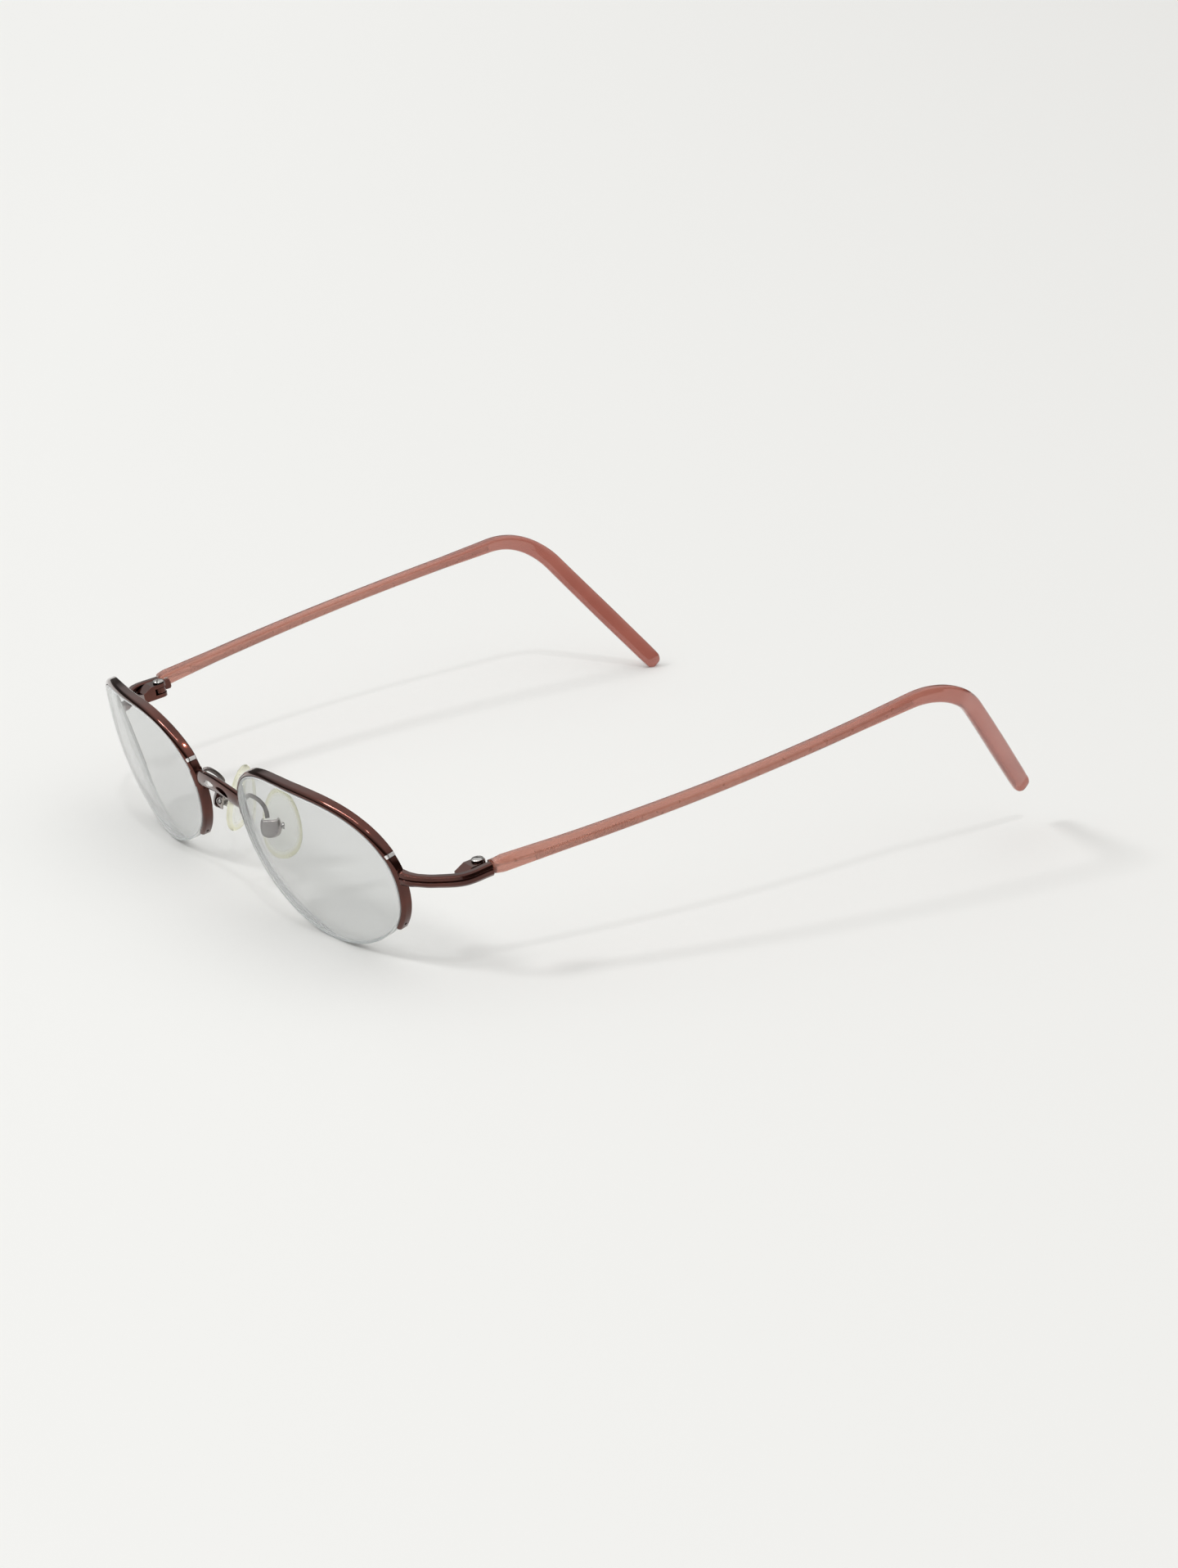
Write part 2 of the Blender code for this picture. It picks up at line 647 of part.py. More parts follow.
def make_nose_pad(word, side):
    """A soft drop-shaped pad with a crowned face and the moulded lug that the box holds."""
    steps = 24
    layers = (
        (PAD_STANDOFF, 0.72), (PAD_STANDOFF + 0.12 * PAD_THICKNESS, 0.93),
        (PAD_STANDOFF + 0.45 * PAD_THICKNESS, 1.0), (PAD_STANDOFF + 0.80 * PAD_THICKNESS, 0.90),
        (PAD_STANDOFF + 0.98 * PAD_THICKNESS, 0.55),
    )
    rings = []
    for inward, share in layers:
        ring = []
        for k in range(steps):
            back, up = superellipse(2 * math.pi * k / steps, PAD_WIDTH / 2, PAD_HEIGHT / 2, 2.2)
            narrow = 1 - PAD_TAPER * up / (PAD_HEIGHT / 2)
            point = at_pad(inward, PAD_BACKSET + share * back * narrow, PAD_RAISE + share * up)
            ring.append(mirrored(point, side))
        rings.append(ring)
    centres = [PAD_STANDOFF, PAD_STANDOFF + PAD_THICKNESS]
    poles = [mirrored(at_pad(inward, PAD_BACKSET, PAD_RAISE), side) for inward in centres]
    pivot = mirrored(PAD_PIVOT, side)
    pad = finish_mesh(f"nose_pad_{word}", loft(rings, poles), PAD_SILICONE, pivot)
    lug = [(PAD_STANDOFF + 0.5 * PAD_THICKNESS, LUG_ROUND)]
    lug += [(-LUG_ROUND * math.sin(t), LUG_ROUND * math.cos(t)) for t in np.linspace(0, math.pi, 9)]
    lug.append((PAD_STANDOFF + 0.5 * PAD_THICKNESS, -LUG_ROUND))
    half = PAD_LUG_WIDTH / 2
    apply_tool(pad, cutter(f"pad_lug_{word}", pad_block(lug, -half, half, side)), "UNION")
    apply_tool(pad, pad_bore(f"lug_bore_{word}", side, PAD_LUG_WIDTH))
    return pad


def make_pad_arm(word, side):
    """The bent wire from the back of the rim to the top of the pad box."""
    radius = ARM_DIAMETER / 2
    root = on_rim(ARM_PLACE, LEG_HEIGHT * 0.55, RIM_BACK)
    start = root + BACKWARD * (SEAM + radius * 0.2)
    end = at_pad(BOX_FRONT - BOX_DEPTH + WEB / 2 + radius, -radius, BOX_TOP + SEAM)
    top = np.array((ARM_LOOP_OUT, ARM_LOOP_BACK, start[2]))
    knots = (
        start,
        start + ARM_SPRING * np.array((-0.3, 1.0, 0.1)),
        top + ARM_LOOP_RADIUS * np.array((0.0, -0.6, -0.1)),
        top + ARM_LOOP_RADIUS * np.array((-0.1, 0.5, -1.6)),
        end + ARM_SPRING * (1.2 * PAD_UP + np.array((-0.3, 0.0, 0.0))),
        end,
    )
    path = smooth_path(knots, 5)
    return wire(f"pad_arm_{word}", [mirrored(p, side) for p in path], ARM_DIAMETER, GUNMETAL)


# Hinge frame: out from the middle, back along the temple, and up the hinge axis
ALONG = np.array((0.0, math.cos(TEMPLE_PITCH), math.sin(TEMPLE_PITCH)))
AXIS = np.array((0.0, -math.sin(TEMPLE_PITCH), math.cos(TEMPLE_PITCH)))
HINGE_POINT = np.array((HINGE_X, HINGE_Y, HINGE_Z))


def at_hinge(out, back, up):
    """A point in the hinge's frame, from the middle of the hinge axis."""
    return HINGE_POINT + np.array((out, 0.0, 0.0)) + back * ALONG + up * AXIS


def hinge_block(levels, side):
    """A solid built from plan outlines of (out, back) points at several heights."""
    return loft([
        [mirrored(at_hinge(out, back, up), side) for out, back in points]
        for up, points in levels
    ])


HALF_TONGUE = TONGUE_THICKNESS / 2
LEAF_LOW = HALF_TONGUE + RUN_GAP
LEAF_TOP = LEAF_LOW + LEAF_THICKNESS
INNER_FACE = TEMPLE_SET_OUT - ENDPIECE_THICKNESS / 2 - SEAM


def leaf_outline(front):
    """Plan of the front leaves: a barrel end behind and a foot on the endpiece."""
    arc = [
        (-BARREL_RADIUS * math.cos(t), BARREL_RADIUS * math.sin(t))
        for t in np.linspace(0.0, math.pi, BARREL_STEPS // 2 + 1)
    ]
    foot_back = -0.25 * BARREL_RADIUS
    return [(-BARREL_RADIUS, front), *arc, (BARREL_RADIUS, foot_back), (INNER_FACE, foot_back),
            (INNER_FACE, front)]


def hinge_bore(name, side, radius, low, high):
    """A tool for a hole along the hinge axis."""
    ends = [mirrored(at_hinge(0.0, 0.0, up), side) for up in (low, high)]
    return cutter(name, round_bar(*ends, radius, BARREL_STEPS))


def make_front_hinge(word, side):
    """The front hinge: upper and lower leaf on one foot, sloped down at the front."""
    levels = (
        (-LEAF_TOP, leaf_outline(-LEAF_REACH)),
        (0.3 * LEAF_TOP, leaf_outline(-LEAF_REACH)),
        (LEAF_TOP, leaf_outline(-0.5 * LEAF_REACH)),
    )
    hinge = finish_mesh(f"hinge_front_{word}", hinge_block(levels, side), PLATED_METAL)
    wide = 3 * BARREL_RADIUS
    slot_front = -(BARREL_RADIUS + RUN_GAP)
    slot = ((-wide, slot_front), (-wide, wide), (wide, wide), (wide, slot_front))
    tool = hinge_block(((-LEAF_LOW, slot), (LEAF_LOW, slot)), side)
    apply_tool(hinge, cutter(f"tongue_slot_{word}", tool))
    radius = HINGE_SCREW_DIAMETER / 2 + RUN_GAP
    apply_tool(hinge, hinge_bore(f"front_bore_{word}", side, radius, -2 * LEAF_TOP, 2 * LEAF_TOP))
    return hinge


def make_hinge_screw(word, side):
    """The hinge screw: a shank through the three leaves and a low domed head on top."""
    shank = HINGE_SCREW_DIAMETER / 2
    head = HINGE_SCREW_HEAD / 2
    base = LEAF_TOP + RUN_GAP
    profile = (
        (-LEAF_TOP, shank), (base, shank), (base, head),
        (base + 0.55 * HINGE_SCREW_HEAD_HEIGHT, head),
        (base + HINGE_SCREW_HEAD_HEIGHT, 0.7 * head),
    )
    rings = [
        circle(mirrored(at_hinge(0.0, 0.0, up), side), AXIS, radius, BARREL_STEPS)
        for up, radius in profile
    ]
    return finish_mesh(f"hinge_screw_{word}", loft(rings), SILVER_SCREW)


TAIL_OUTER = TEMPLE_SET_OUT - max(width for _, _, width in TEMPLE_SECTIONS) / 2 - SEAM
FOLD_ROOM = BARREL_RADIUS + 2 * RUN_GAP


def make_tongue(word, side):
    """The temple's hinge leaf: a barrel tongue and a taller tail beside the temple."""
    radius = BARREL_RADIUS - RUN_GAP
    tail_inner = TAIL_OUTER - TAIL_THICKNESS
    swing = np.linspace(math.acos(tail_inner / radius), 2 * math.pi, BARREL_STEPS)
    plan = [(radius * math.cos(t), radius * math.sin(t)) for t in swing]
    plan += [(TAIL_OUTER, 0.25 * radius), (TAIL_OUTER, TAIL_LENGTH), (tail_inner, TAIL_LENGTH)]
    levels = ((-HALF_TONGUE, plan), (HALF_TONGUE, plan))
    pivot = mirrored(HINGE_POINT, side)
    tongue = finish_mesh(f"hinge_tongue_{word}", hinge_block(levels, side), PLATED_METAL, pivot)
    tail = ((tail_inner, FOLD_ROOM), (TAIL_OUTER, FOLD_ROOM),
            (TAIL_OUTER, TAIL_LENGTH - RUN_GAP), (tail_inner, TAIL_LENGTH - RUN_GAP))
    lower = TEMPLE_SET_UP - TAIL_DROP - TAIL_HEIGHT / 2
    upper = lower + TAIL_HEIGHT
    plate = cutter(f"tail_plate_{word}", hinge_block(((lower, tail), (upper, tail)), side))
    apply_tool(tongue, plate, "UNION")
    bore = HINGE_SCREW_DIAMETER / 2 + RUN_GAP
    apply_tool(tongue, hinge_bore(f"tongue_bore_{word}", side, bore, -LEAF_TOP, LEAF_TOP))
    return tongue


# Section of an endpiece in shares of its thickness and height, outer side first
ENDPIECE_PROFILE = (
    (0.30, -0.50), (0.50, -0.30), (0.50, -0.02), (0.30, 0.06), (0.44, 0.14), (0.36, 0.40),
    (0.16, 0.50), (-0.34, 0.50), (-0.50, 0.36), (-0.50, -0.36), (-0.32, -0.50),
)


def make_endpiece(word, side):
    """The swept endpiece: brazed to the rim, creased along its side, ending at the temple."""
    root = on_rim(ENDPIECE_PLACE, LEG_HEIGHT + SEAM, GROOVE_SETBACK)
    end_up = TEMPLE_SET_UP - ENDPIECE_DROP
    end = at_hinge(TEMPLE_SET_OUT, ENDPIECE_END, end_up)
    straight = at_hinge(TEMPLE_SET_OUT, -LEAF_REACH - BUTT_GAP, end_up)
    sweep_knots = [root + np.array((out, back, 0.0)) for out, back in ENDPIECE_SWEEP]
    path = smooth_path((root, *sweep_knots, straight, end), 4)
    heights, faces, backs = rim_face(TEMPLE_SIDE, LEG_HEIGHT + SEAM, GROOVE_SETBACK)
    rings = []
    for k, centre in enumerate(path):
        share = k / (len(path) - 1)
        ahead = path[min(k + 1, len(path) - 1)] - path[max(k - 1, 0)]
        if k == 0:
            ahead = np.array((1.0, 0.1, 0.0))
        if k == len(path) - 1:
            ahead = ALONG
        ahead = ahead / np.linalg.norm(ahead)
        outer = np.cross(ahead, AXIS)
        outer /= np.linalg.norm(outer)
        up = np.cross(outer, ahead)
        height = float(np.interp(share, (0.0, 0.35, 0.6, 1.0), (
            ENDPIECE_ROOT_HEIGHT, ENDPIECE_NECK_HEIGHT, ENDPIECE_NECK_HEIGHT, ENDPIECE_END_HEIGHT)))
        ring = []
        for across, upright in ENDPIECE_PROFILE:
            point = centre + across * ENDPIECE_THICKNESS * outer + upright * height * up
            if k == 0:
                lean = LEAN * (point[1] - np.interp(point[2], heights, backs))
                point[0] = np.interp(point[2], heights, faces) + lean
            ring.append(mirrored(point, side))
        rings.append(ring)
    return finish_mesh(f"endpiece_{word}", loft(rings), PLATED_METAL)


TEMPLE_FRONT = ENDPIECE_END + BUTT_GAP


def side_view(run):
    """Back and up from the temple's front, in its side view, at a distance along it."""
    turn = TEMPLE_PITCH + TEMPLE_DROP_ANGLE
    tangent = TEMPLE_BEND_RADIUS * math.tan(turn / 2)
    bar = TEMPLE_BAR_LENGTH - tangent
    arc = TEMPLE_BEND_RADIUS * turn
    if run <= bar:
        return run, -TEMPLE_BAR_SAG * math.sin(math.pi * run / bar)
    if run <= bar + arc:
        swept = (run - bar) / TEMPLE_BEND_RADIUS
        return (bar + TEMPLE_BEND_RADIUS * math.sin(swept),
                TEMPLE_BEND_RADIUS * (math.cos(swept) - 1))
    rest = run - bar - arc
    return (bar + TEMPLE_BEND_RADIUS * math.sin(turn) + rest * math.cos(turn),
            TEMPLE_BEND_RADIUS * (math.cos(turn) - 1) - rest * math.sin(turn))


TEMPLE_TURN = TEMPLE_PITCH + TEMPLE_DROP_ANGLE
TEMPLE_RUN = (TEMPLE_BAR_LENGTH + TEMPLE_DROP_LENGTH
              + TEMPLE_BEND_RADIUS * (TEMPLE_TURN - 2 * math.tan(TEMPLE_TURN / 2)))
PLAN_CURVE = smooth_path(TEMPLE_PLAN, 8)


def temple_line(run):
    """A point of the temple's centreline at a distance from its front."""
    back, up = side_view(run)
    bow = np.interp(back, [p[0] for p in PLAN_CURVE], [p[1] for p in PLAN_CURVE])
    return at_hinge(TEMPLE_SET_OUT + bow, TEMPLE_FRONT + back, TEMPLE_SET_UP + up)


def lifted(point, lift):
    """Turns a temple point upwards about the temple's front end."""
    start = at_hinge(0.0, TEMPLE_FRONT, TEMPLE_SET_UP)
    y, z = point[1] - start[1], point[2] - start[2]
    c, s = math.cos(lift), math.sin(lift)
    return np.array((point[0], start[1] + c * y - s * z, start[2] + s * y + c * z))


def temple_runs():
    """Stations along the temple, close together at the nose, the bend and the tip."""
    bar_end = TEMPLE_BAR_LENGTH - TEMPLE_BEND_RADIUS * math.tan(TEMPLE_TURN / 2)
    bend_end = bar_end + TEMPLE_BEND_RADIUS * TEMPLE_TURN
    nose = [share * TEMPLE_RUN for share, _, _ in TEMPLE_SECTIONS[:3]]
    bar = np.linspace(2 * nose[-1], bar_end, 13)
    bend = np.linspace(bar_end, bend_end, 11)[1:]
    drop = np.linspace(bend_end, TEMPLE_RUN - TIP_ROUNDING, 8)[1:]
    tip = TEMPLE_RUN - TIP_ROUNDING * np.array((0.6, 0.3, 0.1, 0.0))
    return [*nose, *bar, *bend, *drop, *tip]


FLOOR = 0.0


def make_temple(word, side, lift):
    """The moulded temple: slim bar, bend, flattened drop and a tip cut flat underneath."""
    shares = [s[0] for s in TEMPLE_SECTIONS]
    small = 1e-4
    rings = []
    for run in temple_runs():
        centre = temple_line(run)
        ahead = temple_line(run + small) - temple_line(max(run - small, 0.0))
        ahead /= np.linalg.norm(ahead)
        if run == 0.0:
            ahead = ALONG
        up = np.cross(np.array((1.0, 0.0, 0.0)), ahead)
        up /= np.linalg.norm(up)
        outer = np.cross(ahead, up)
        share = run / TEMPLE_RUN
        into_tip = max(0.0, 1 - (TEMPLE_RUN - run) / TIP_ROUNDING)
        rounding = 1 - (1 - TIP_END) * (1 - math.sqrt(1 - into_tip**2))
        height = rounding * np.interp(share, shares, [s[1] for s in TEMPLE_SECTIONS])
        width = rounding * np.interp(share, shares, [s[2] for s in TEMPLE_SECTIONS])
        ring = []
        for k in range(TEMPLE_SIDES):
            around = 2 * math.pi * (k + 0.5) / TEMPLE_SIDES
            a, b = superellipse(around, width / 2, height / 2, TEMPLE_SQUARENESS)
            ring.append(centre + a * outer + b * up)
        rings.append(ring)
    shape = loft(rings)
    cut = bmesh.ops.bisect_plane(
        shape, geom=[*shape.verts, *shape.edges, *shape.faces], dist=1e-7,
        plane_co=(0.0, 0.0, FLOOR), plane_no=(0.0, 0.0, 1.0), clear_inner=True)
    cut_edges = [e for e in cut["geom_cut"] if isinstance(e, bmesh.types.BMEdge)]
    bmesh.ops.holes_fill(shape, edges=cut_edges)
    for vert in shape.verts:
        vert.co = Vector(mirrored(lifted(np.array(vert.co), lift), side))
    pivot = mirrored(HINGE_POINT, side)
    temple = finish_mesh(f"temple_{word}", shape, ROSE_ACETATE, pivot)
    path = core_path(RUN_GAP, lift, side)
    bore = wire(f"core_bore_{word}", path, CORE_DIAMETER + 2 * RUN_GAP, ROSE_ACETATE)
    bore.hide_render = True
    bore.display_type = "WIRE"
    apply_tool(temple, bore_mesh(bore))
    return temple


def bore_mesh(bore):
    """The bore wire as a mesh tool, because a cut needs a mesh."""
    depsgraph = bpy.context.evaluated_depsgraph_get()
    mesh = bpy.data.meshes.new_from_object(bore.evaluated_get(depsgraph))
    name = bore.name
    bpy.data.objects.remove(bore, do_unlink=True)
    shape = bmesh.new()
    shape.from_mesh(mesh)
    bmesh.ops.remove_doubles(shape, verts=shape.verts, dist=1e-7)
    return cutter(name, shape)


def core_path(extra, lift, side):
    """The core wire's line: in from the hinge tail, round a bend and back along the temple."""
    reach = TAIL_OUTER + SEAM + CORE_INSET - 8 * extra
    middle = temple_line(CORE_FOOT)
    foot = np.array((HINGE_X + reach, middle[1], middle[2]))
    points = [foot, middle + np.array((-CORE_BEND, 0.0, 0.0))]
    for t in (30.0, 60.0):
        c, s = math.cos(math.radians(t)), math.sin(math.radians(t))
        ahead = temple_line(CORE_FOOT + CORE_BEND * (1 - c))
        points.append(ahead + np.array((-CORE_BEND * (1 - s), 0.0, 0.0)))
    stop = CORE_LENGTH + extra
    points += [temple_line(run) for run in np.linspace(CORE_FOOT + CORE_BEND, stop, 18)]
    return [mirrored(lifted(p, lift), side) for p in points]


def make_core(word, side, lift):
    """The wire core in the temple, whose foot is brazed to the hinge tail."""
    return wire(f"temple_core_{word}", core_path(0.0, lift, side), CORE_DIAMETER, CORE_WIRE)


def empty(name, spot):
    """A named point that others hang from."""
    point = bpy.data.objects.new(name, None)
    point.location = spot
    bpy.context.scene.collection.objects.link(point)
    return point


def hang(child, parent):
    """Parents an object without moving it."""
    child.parent = parent
    child.location = Vector(child.location) - Vector(parent.location)


def build():
    """Makes every piece and hangs it from the glasses' origin or from its own joint axis."""
    front = [make_bridge()]
    moving = []
    for word, side in SIDES:
        lift = LEFT_TEMPLE_LIFT if side == LEFT else 0.0
        front += [
            make_lens(word, side), make_rim(word, side), make_liner(word, side),
            make_line(word, side), make_endpiece(word, side), make_front_hinge(word, side),
            make_hinge_screw(word, side), make_pad_arm(word, side), make_pad_box(word, side),
            make_pad_screw(word, side),
        ]
        hinge_axis = empty(f"temple_fold_axis_{word}", mirrored(HINGE_POINT, side))
        swing = [make_tongue(word, side), make_temple(word, side, lift), make_core(word, side, lift)]
        pad_axis = empty(f"nose_pad_axis_{word}", mirrored(PAD_PIVOT, side))
        moving += [(hinge_axis, swing), (pad_axis, [make_nose_pad(word, side)])]
    corners = []
    bpy.context.view_layer.update()
    depsgraph = bpy.context.evaluated_depsgraph_get()
    for thing in bpy.context.scene.objects:
        if thing.type in {"MESH", "CURVE"} and not thing.hide_render:
            solid = thing.evaluated_get(depsgraph).to_mesh()
            corners += [thing.matrix_world @ v.co for v in solid.vertices]
    spread = np.array([tuple(c) for c in corners])
    low, high = spread.min(axis=0), spread.max(axis=0)
    origin = Vector(((low[0] + high[0]) / 2, (low[1] + high[1]) / 2, low[2]))
    root = empty("glasses_origin", origin)
    tools = [t for t in bpy.context.scene.objects if t.hide_render]
    for thing in front + tools:
        hang(thing, root)
    for axis, pieces in moving:
        for thing in pieces:
            hang(thing, axis)
        hang(axis, root)
    root.location = (0.0, 0.0, 0.0)
    bpy.context.view_layer.update()
    return moving


build()
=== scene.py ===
# Semi-rimless eyeglasses standing open on a pale table. Metres, +Z up; the lens fronts face
# -Y and the temples run back towards +Y.
import json
import math

import bmesh
import bpy
import numpy as np
from mathutils import Matrix, Quaternion, Vector


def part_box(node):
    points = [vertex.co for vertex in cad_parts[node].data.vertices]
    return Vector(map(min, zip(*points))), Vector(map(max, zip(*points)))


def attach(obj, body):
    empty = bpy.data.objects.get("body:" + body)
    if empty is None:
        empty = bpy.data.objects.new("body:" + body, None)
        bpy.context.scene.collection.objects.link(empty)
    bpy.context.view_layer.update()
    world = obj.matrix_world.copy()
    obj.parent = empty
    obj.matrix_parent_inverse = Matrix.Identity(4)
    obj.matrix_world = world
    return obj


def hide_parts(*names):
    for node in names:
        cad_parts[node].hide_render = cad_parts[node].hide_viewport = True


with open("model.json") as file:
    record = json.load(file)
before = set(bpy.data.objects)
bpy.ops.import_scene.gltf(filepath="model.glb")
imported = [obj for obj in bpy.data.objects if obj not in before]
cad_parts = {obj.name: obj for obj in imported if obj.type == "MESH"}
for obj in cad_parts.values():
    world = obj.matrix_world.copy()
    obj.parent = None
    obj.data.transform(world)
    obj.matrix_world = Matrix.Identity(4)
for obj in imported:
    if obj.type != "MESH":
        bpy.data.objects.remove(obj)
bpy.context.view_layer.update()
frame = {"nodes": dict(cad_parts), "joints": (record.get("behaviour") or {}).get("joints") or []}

# Camera
# The glasses are seen from their left front, a little from above, through a long lens.
# Everything is placed from the point between the two lenses, FRONT_Y along the table.
scene = bpy.context.scene
scene.view_settings.view_transform = "Standard"
joint_spot = {joint["name"]: np.array(joint["pos_m"]) for joint in frame["joints"]}
HINGE_BEHIND_FRONT = 0.0227
FRONT_Y = joint_spot["temple_fold_left"][1] - HINGE_BEHIND_FRONT
CAMERA_AZIMUTH = math.radians(58.59)
CAMERA_ELEVATION = math.radians(19.64)
CAMERA_ROLL = math.radians(-2.23)
CAMERA_SPOT = Vector((0.5958, FRONT_Y - 0.2781, 0.2523))
CAMERA_FOCAL_MM = 84.55
CAMERA_SENSOR_MM = 36.0
CAMERA_NEAR_LIMIT = 0.01
camera_data = bpy.data.cameras.new("camera")
camera_data.lens = CAMERA_FOCAL_MM
camera_data.sensor_width = CAMERA_SENSOR_MM
camera_data.clip_start = CAMERA_NEAR_LIMIT
camera = bpy.data.objects.new("camera", camera_data)
scene.collection.objects.link(camera)
looking = Vector((
    -math.sin(CAMERA_AZIMUTH) * math.cos(CAMERA_ELEVATION),
    math.cos(CAMERA_AZIMUTH) * math.cos(CAMERA_ELEVATION),
    -math.sin(CAMERA_ELEVATION),
))
camera.rotation_mode = "QUATERNION"
camera.rotation_quaternion = looking.to_track_quat("-Z", "Y") @ Quaternion((0, 0, 1), CAMERA_ROLL)
camera.location = CAMERA_SPOT
scene.camera = camera

# Table, room and lamps
# A matt off-white table runs back without an edge; its colour is painted darker towards its far
# right, painted shade for the light falling off there.
# A pale ceiling lights it, two far lamps throw the two soft shadows of each temple, and a
# narrow strip lamp only gives the polished pieces their long glints.
TABLE_SIZE = 12.0
TABLE_CLEARANCE = 1e-5
TABLE_NEAR_COLOR = (0.86, 0.86, 0.845)
TABLE_FAR_PAINTED_SHADE = (0.77, 0.765, 0.75)
TABLE_PAINTED_SHADE_WAY = (0.5212, 0.8535, 0.0)
TABLE_PAINTED_SHADE_RUN = (-0.15, 0.40)
ROOM_STRENGTH = 1.07
ROOM_COLOR = (0.78, 0.775, 0.76)
ROOM_BY_HEIGHT = (
    (0.25, (0.07, 0.065, 0.06)), (0.45, (0.60, 0.60, 0.59)), (0.72, (1.0, 1.0, 0.99)),
)
# Each lamp's name, azimuth, elevation, power and softness, with the angles in degrees.
LAMPS = (
    ("key_lamp", -26.2, 47.6, 0.66, 11.0),
    ("fill_lamp", 63.0, 62.0, 0.24, 4.0),
)
STRIP_WAY = Vector((0.003, -0.483, 0.876))
STRIP_RUN = Vector((0.866, 0.439, 0.239))
STRIP_DISTANCE = 3.0
STRIP_LENGTH = 1.5
STRIP_WIDTH = 0.30
STRIP_POWER = 30.0


def new_material(name):
    """A material with its Principled shader and node tree."""
    made = bpy.data.materials.new(name)
    made.use_nodes = True
    return made, made.node_tree, made.node_tree.nodes["Principled BSDF"]


table_mesh = bpy.data.meshes.new("table")
half = TABLE_SIZE / 2
corners = ((-half, -half), (half, -half), (half, half), (-half, half))
table_mesh.from_pydata([(x, y, -TABLE_CLEARANCE) for x, y in corners], [], [(0, 1, 2, 3)])
table = bpy.data.objects.new("table", table_mesh)
scene.collection.objects.link(table)
table_finish, tree, shader = new_material("table_top")
shader.inputs["Roughness"].default_value = 0.6
shader.inputs["Specular IOR Level"].default_value = 0.15
# Painted shade: the table's colour blends to a darker one towards its far right, where the light
# falls off.
where = tree.nodes.new("ShaderNodeTexCoord")
along = tree.nodes.new("ShaderNodeVectorMath")
along.operation = "DOT_PRODUCT"
along.inputs[1].default_value = TABLE_PAINTED_SHADE_WAY
share = tree.nodes.new("ShaderNodeMapRange")
share.inputs["From Min"].default_value = TABLE_PAINTED_SHADE_RUN[0]
share.inputs["From Max"].default_value = TABLE_PAINTED_SHADE_RUN[1]
painted_table_shade = tree.nodes.new("ShaderNodeMix")
painted_table_shade.data_type = "RGBA"
painted_table_shade.inputs["A"].default_value = (*TABLE_NEAR_COLOR, 1.0)
painted_table_shade.inputs["B"].default_value = (*TABLE_FAR_PAINTED_SHADE, 1.0)
tree.links.new(where.outputs["Object"], along.inputs[0])
tree.links.new(along.outputs["Value"], share.inputs["Value"])
tree.links.new(share.outputs["Result"], painted_table_shade.inputs["Factor"])
tree.links.new(painted_table_shade.outputs["Result"], shader.inputs["Base Color"])
table_mesh.materials.append(table_finish)

world = bpy.data.worlds.new("room")
world.use_nodes = True
scene.world = world
nodes, links = world.node_tree.nodes, world.node_tree.links
direction = nodes.new("ShaderNodeTexCoord")
height = nodes.new("ShaderNodeSeparateXYZ")
walls = nodes.new("ShaderNodeValToRGB")
walls.color_ramp.elements.new(0.5)
for stop, (level, color) in zip(walls.color_ramp.elements, ROOM_BY_HEIGHT):
    stop.position = level
    stop.color = (*color, 1.0)
links.new(direction.outputs["Generated"], height.inputs["Vector"])
links.new(height.outputs["Z"], walls.inputs["Fac"])
seen = nodes.new("ShaderNodeLightPath")
looked_at = nodes.new("ShaderNodeMath")
looked_at.operation = "MAXIMUM"
room = nodes.new("ShaderNodeMix")
room.data_type = "RGBA"
room.inputs["B"].default_value = (*ROOM_COLOR, 1.0)
links.new(seen.outputs["Is Camera Ray"], looked_at.inputs[0])
links.new(seen.outputs["Is Transmission Ray"], looked_at.inputs[1])
links.new(looked_at.outputs["Value"], room.inputs["Factor"])
links.new(walls.outputs["Color"], room.inputs["A"])
links.new(room.outputs["Result"], nodes["Background"].inputs["Color"])
nodes["Background"].inputs["Strength"].default_value = ROOM_STRENGTH

for name, azimuth, elevation, power, softness in LAMPS:
    lamp_data = bpy.data.lights.new(name, "SUN")
    lamp_data.angle = math.radians(softness)
    lamp_data.energy = power
    lamp = bpy.data.objects.new(name, lamp_data)
    scene.collection.objects.link(lamp)
    a, e = math.radians(azimuth), math.radians(elevation)
    way = Vector((math.sin(a) * math.cos(e), -math.cos(a) * math.cos(e), math.sin(e)))
    lamp.rotation_mode = "QUATERNION"
    lamp.rotation_quaternion = (-way).to_track_quat("-Z", "Y")

strip_data = bpy.data.lights.new("strip_lamp", "AREA")
strip_data.shape = "RECTANGLE"
strip_data.size = STRIP_LENGTH
strip_data.size_y = STRIP_WIDTH
strip_data.energy = STRIP_POWER
strip = bpy.data.objects.new("strip_lamp", strip_data)
scene.collection.objects.link(strip)
strip.location = STRIP_DISTANCE * STRIP_WAY
strip.rotation_mode = "QUATERNION"
strip.rotation_quaternion = Matrix(
    (STRIP_RUN, STRIP_WAY.cross(STRIP_RUN), STRIP_WAY)).transposed().to_quaternion()
strip.visible_diffuse = False
strip.visible_transmission = False

